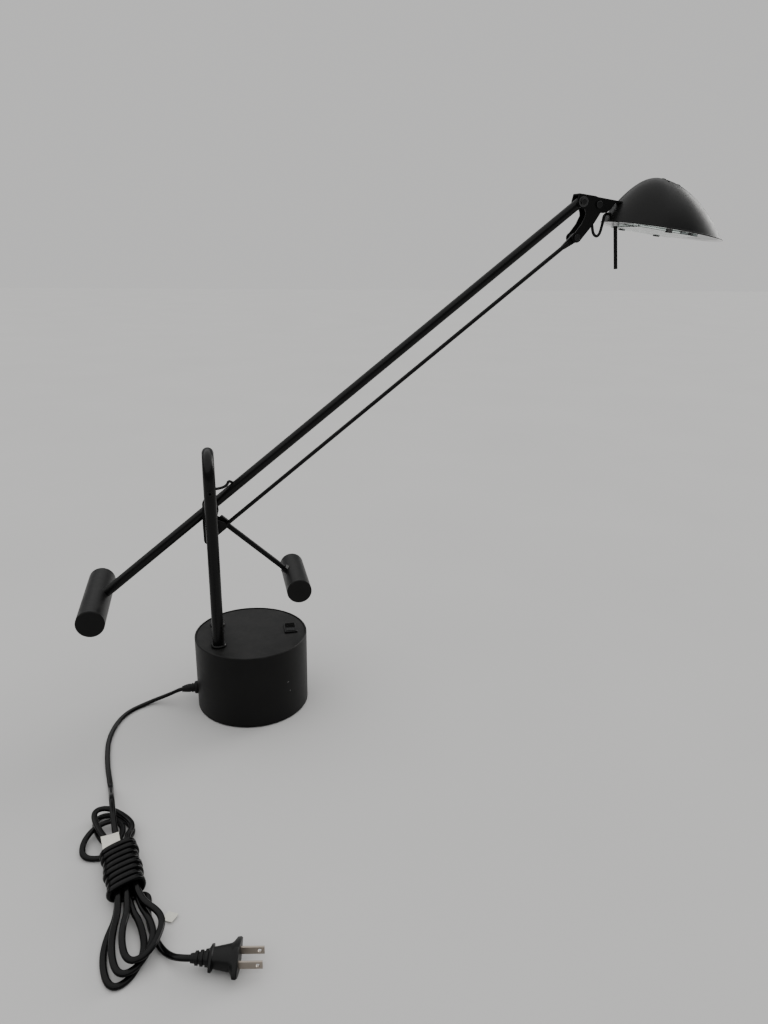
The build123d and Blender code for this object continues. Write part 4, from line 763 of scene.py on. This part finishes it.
bundle_low = on_hank(0, 0, ROUND_RADIUS).z
bundle_high = on_hank(0, 0, WRAP_TOP).z
BUNDLE_MIDDLE = (bundle_low + bundle_high) / 2
BUNDLE_HALF_HEIGHT = (bundle_high - bundle_low) / 2
WRAP_END = WRAP_START - WRAP_PITCH * WRAP_TURNS


def flat_side(place):
    """Which way the cord's flat side faces: out of the bundle in the binding turns, and up elsewhere."""
    offset = place - HANK_CENTRE
    across = offset.dot(HANK_RIGHT) / WRAP_HALF_WIDTH
    rise = (place.z - BUNDLE_MIDDLE) / BUNDLE_HALF_HEIGHT
    in_the_turns = WRAP_END < offset.dot(HANK_UP) < WRAP_START + CORD_WIDTH
    if in_the_turns and max(abs(across), abs(rise)) > WRAP_SHELL:
        return (HANK_RIGHT * across + UPWARD * (rise * WRAP_HALF_WIDTH / BUNDLE_HALF_HEIGHT)).normalized()
    return UPWARD


cord_vinyl = moulded("cord_vinyl", dark=0.001, light=0.003, gloss=0.08, texture=1100,
                     depth=0.00001, shine=0.14)
cord, cord_path = follow(
    "mains_cord", lead_points + hank_points + tail_points, cord_vinyl, twin_outline, flat_side)
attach(cord, "base")
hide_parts("cord_lead", "cord_hank", "cord_tail")

# ---------------------------------------------------------------- strain relief
# A rubber bush snapped into the drum's wall. Its collar lies against the drum, and its ribbed nose tapers
# down onto the cord and bends with it.
BUSH_SHAPE = (
    (-0.0593, 0.0140), (-0.0610, 0.0140), (-0.0612, 0.0108), (-0.0634, 0.0108), (-0.0636, 0.0146),
    (-0.0664, 0.0140), (-0.0670, 0.0116),
)
BUSH_SQUARENESS = 2.0
NOSE_START = -0.0670
NOSE_LENGTH = 0.0150
NOSE_RIBS = 5
NOSE_WIDE = 0.0112
NOSE_NARROW = 0.0074
NOSE_FLATNESS = 0.92
NOSE_SQUARENESS = 2.2
RIB_DEPTH = 0.0012
RIB_PROFILE = ((0.08, 0), (0.16, -RIB_DEPTH), (0.46, -RIB_DEPTH), (0.54, 0), (0.96, 0))
RIB_FADING = 0.5
LEAD_PLACES = 120
RING_CORNERS = 40
MOULDED_CREASE = math.radians(32)


def loft(name, rings, finish):
    """A closed moulding through rings: each a middle, two axes, a width, a height and a squareness."""
    body = bmesh.new()
    loops = []
    for middle, wide, high, width, height, squareness in rings:
        ring = bmesh.ops.create_circle(body, cap_ends=False, segments=RING_CORNERS, radius=1.0)["verts"]
        for vert in ring:
            side, rise = vert.co.x, vert.co.y
            side = math.copysign(abs(side) ** (2 / squareness), side) * width / 2
            rise = math.copysign(abs(rise) ** (2 / squareness), rise) * height / 2
            vert.co = middle + wide * side + high * rise
        loops.append(list({edge for vert in ring for edge in vert.link_edges}))
    for first, second in zip(loops, loops[1:]):
        bmesh.ops.bridge_loops(body, edges=first + second)
    bmesh.ops.holes_fill(body, edges=[edge for edge in body.edges if edge.is_boundary], sides=0)
    bmesh.ops.recalc_face_normals(body, faces=body.faces)
    for face in body.faces:
        face.smooth = True
    mesh = bpy.data.meshes.new(name)
    body.to_mesh(mesh)
    body.free()
    mesh.set_sharp_from_angle(angle=MOULDED_CREASE)
    return link_piece(name, mesh, finish)


def on_cord(x):
    """Middle of the cord's first stretch where it passes x, and straight behind its start."""
    if x >= cord_path[0].x:
        return Vector((x, cord_path[0].y, cord_path[0].z))
    return min(cord_path[:LEAD_PLACES], key=lambda place: abs(place.x - x))


side_axis = Vector((0, 1, 0))
bush_rings = [(Vector((x, 0, CORD_EXIT.z)), side_axis, UPWARD, size, size, BUSH_SQUARENESS)
              for x, size in BUSH_SHAPE]
for rib in range(NOSE_RIBS):
    for share, sunk in RIB_PROFILE:
        run = (rib + share) / NOSE_RIBS
        width = NOSE_WIDE + (NOSE_NARROW - NOSE_WIDE) * run + sunk * (1 - run * RIB_FADING)
        bush_rings.append((on_cord(NOSE_START - NOSE_LENGTH * run), side_axis, UPWARD,
                           width, width * NOSE_FLATNESS, NOSE_SQUARENESS))
strain_relief = loft("strain_relief", bush_rings, rubber)
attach(strain_relief, "base")
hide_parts("cord_bushing")

# ---------------------------------------------------------------- plug
# A moulded vinyl plug with a ribbed neck, a small flange and a large pointed one for the fingers, and two
# flat brass blades that are dull and brownish. Each ring is its place, width, height and squareness.
plug_vinyl = moulded("plug_vinyl", dark=0.004, light=0.010, gloss=0.32, texture=1300, depth=0.00004)
PLUG_SHAPE = (
    (0.0000, 0.0070, 0.0060, 2.2), (0.0030, 0.0078, 0.0066, 2.2), (0.0034, 0.0100, 0.0086, 2.4),
    (0.0054, 0.0102, 0.0088, 2.4), (0.0058, 0.0084, 0.0072, 2.3), (0.0068, 0.0086, 0.0074, 2.3),
    (0.0072, 0.0112, 0.0094, 2.4), (0.0092, 0.0114, 0.0096, 2.4), (0.0096, 0.0094, 0.0080, 2.4),
    (0.0106, 0.0096, 0.0082, 2.4), (0.0110, 0.0124, 0.0100, 2.5), (0.0130, 0.0128, 0.0104, 2.5),
    (0.0138, 0.0150, 0.0118, 2.4), (0.0144, 0.0246, 0.0138, 1.5), (0.0160, 0.0250, 0.0142, 1.5),
    (0.0168, 0.0146, 0.0122, 2.6), (0.0220, 0.0164, 0.0132, 2.8), (0.0290, 0.0196, 0.0144, 2.8),
    (0.0306, 0.0264, 0.0156, 1.8), (0.0324, 0.0366, 0.0184, 1.4), (0.0350, 0.0372, 0.0188, 1.4),
    (0.0360, 0.0352, 0.0176, 1.4),
)
plug_across = Vector((-PLUG_DIRECTION.y, PLUG_DIRECTION.x, 0))
plug_rings = [(PLUG_ENTRY + PLUG_DIRECTION * along, plug_across, UPWARD, width, height, squareness)
              for along, width, height, squareness in PLUG_SHAPE]
plug = loft("plug", plug_rings, plug_vinyl)
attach(plug, "base")
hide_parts("plug_body")
brass = plated_steel("plug_brass", shade=0.34, warm=0.14, gloss=0.26)
dress(brass, "plug_blades")

# ---------------------------------------------------------------- paper tag
# A bare strip of stiff cream paper that is caught in the hank. One end shows under the first binding turns,
# and the other sticks out on the table beside the loops.
TAG_THICKNESS = 0.0002
TAG_SEGMENTS = 14
TAG_ROWS = 5
TAG_CUP = 0.15
DULL_CREAM = (0.58, 0.57, 0.50, 1)
PALE_CREAM = (0.74, 0.73, 0.66, 1)
FIBRE_DEPTH = 0.00003
paper = Finish("cream_paper", roughness=0.82)
fibres = paper.noise(scale=700, detail=4)
paper.paint(base_color=paper.mixed(DULL_CREAM, PALE_CREAM, fibres))
paper.relief(fibres, FIBRE_DEPTH)


def tag_end(name, corner, along, across, length, width, curl):
    """One end of the tag. It bends up by curl over its length, and its middle sags a little."""
    strip = bmesh.new()
    bmesh.ops.create_grid(strip, x_segments=TAG_SEGMENTS, y_segments=TAG_ROWS, size=GRID_HALF)
    for vert in strip.verts:
        run, side = vert.co.x + GRID_HALF, vert.co.y + GRID_HALF
        rise = curl * (run ** 2 - TAG_CUP * math.sin(math.pi * side))
        vert.co = corner + along * run * length + across * side * width + UPWARD * rise
    bmesh.ops.solidify(strip, geom=strip.faces[:], thickness=TAG_THICKNESS)
    bmesh.ops.recalc_face_normals(strip, faces=strip.faces)
    mesh = bpy.data.meshes.new(name)
    strip.to_mesh(mesh)
    strip.free()
    end = link_piece(name, mesh, paper)
    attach(end, "base")


tag_end("tag_upper_end", on_hank(0.027, -0.0125, 0.0196), along=HANK_UP, across=HANK_RIGHT,
        length=0.016, width=0.015, curl=0.0030)
tag_end("tag_lower_end", Vector((-0.0930, -0.3107, 0.0012)), along=Vector((0.82, -0.57, 0)),
        across=Vector((0.57, 0.82, 0)), length=0.010, width=0.009, curl=0.0012)
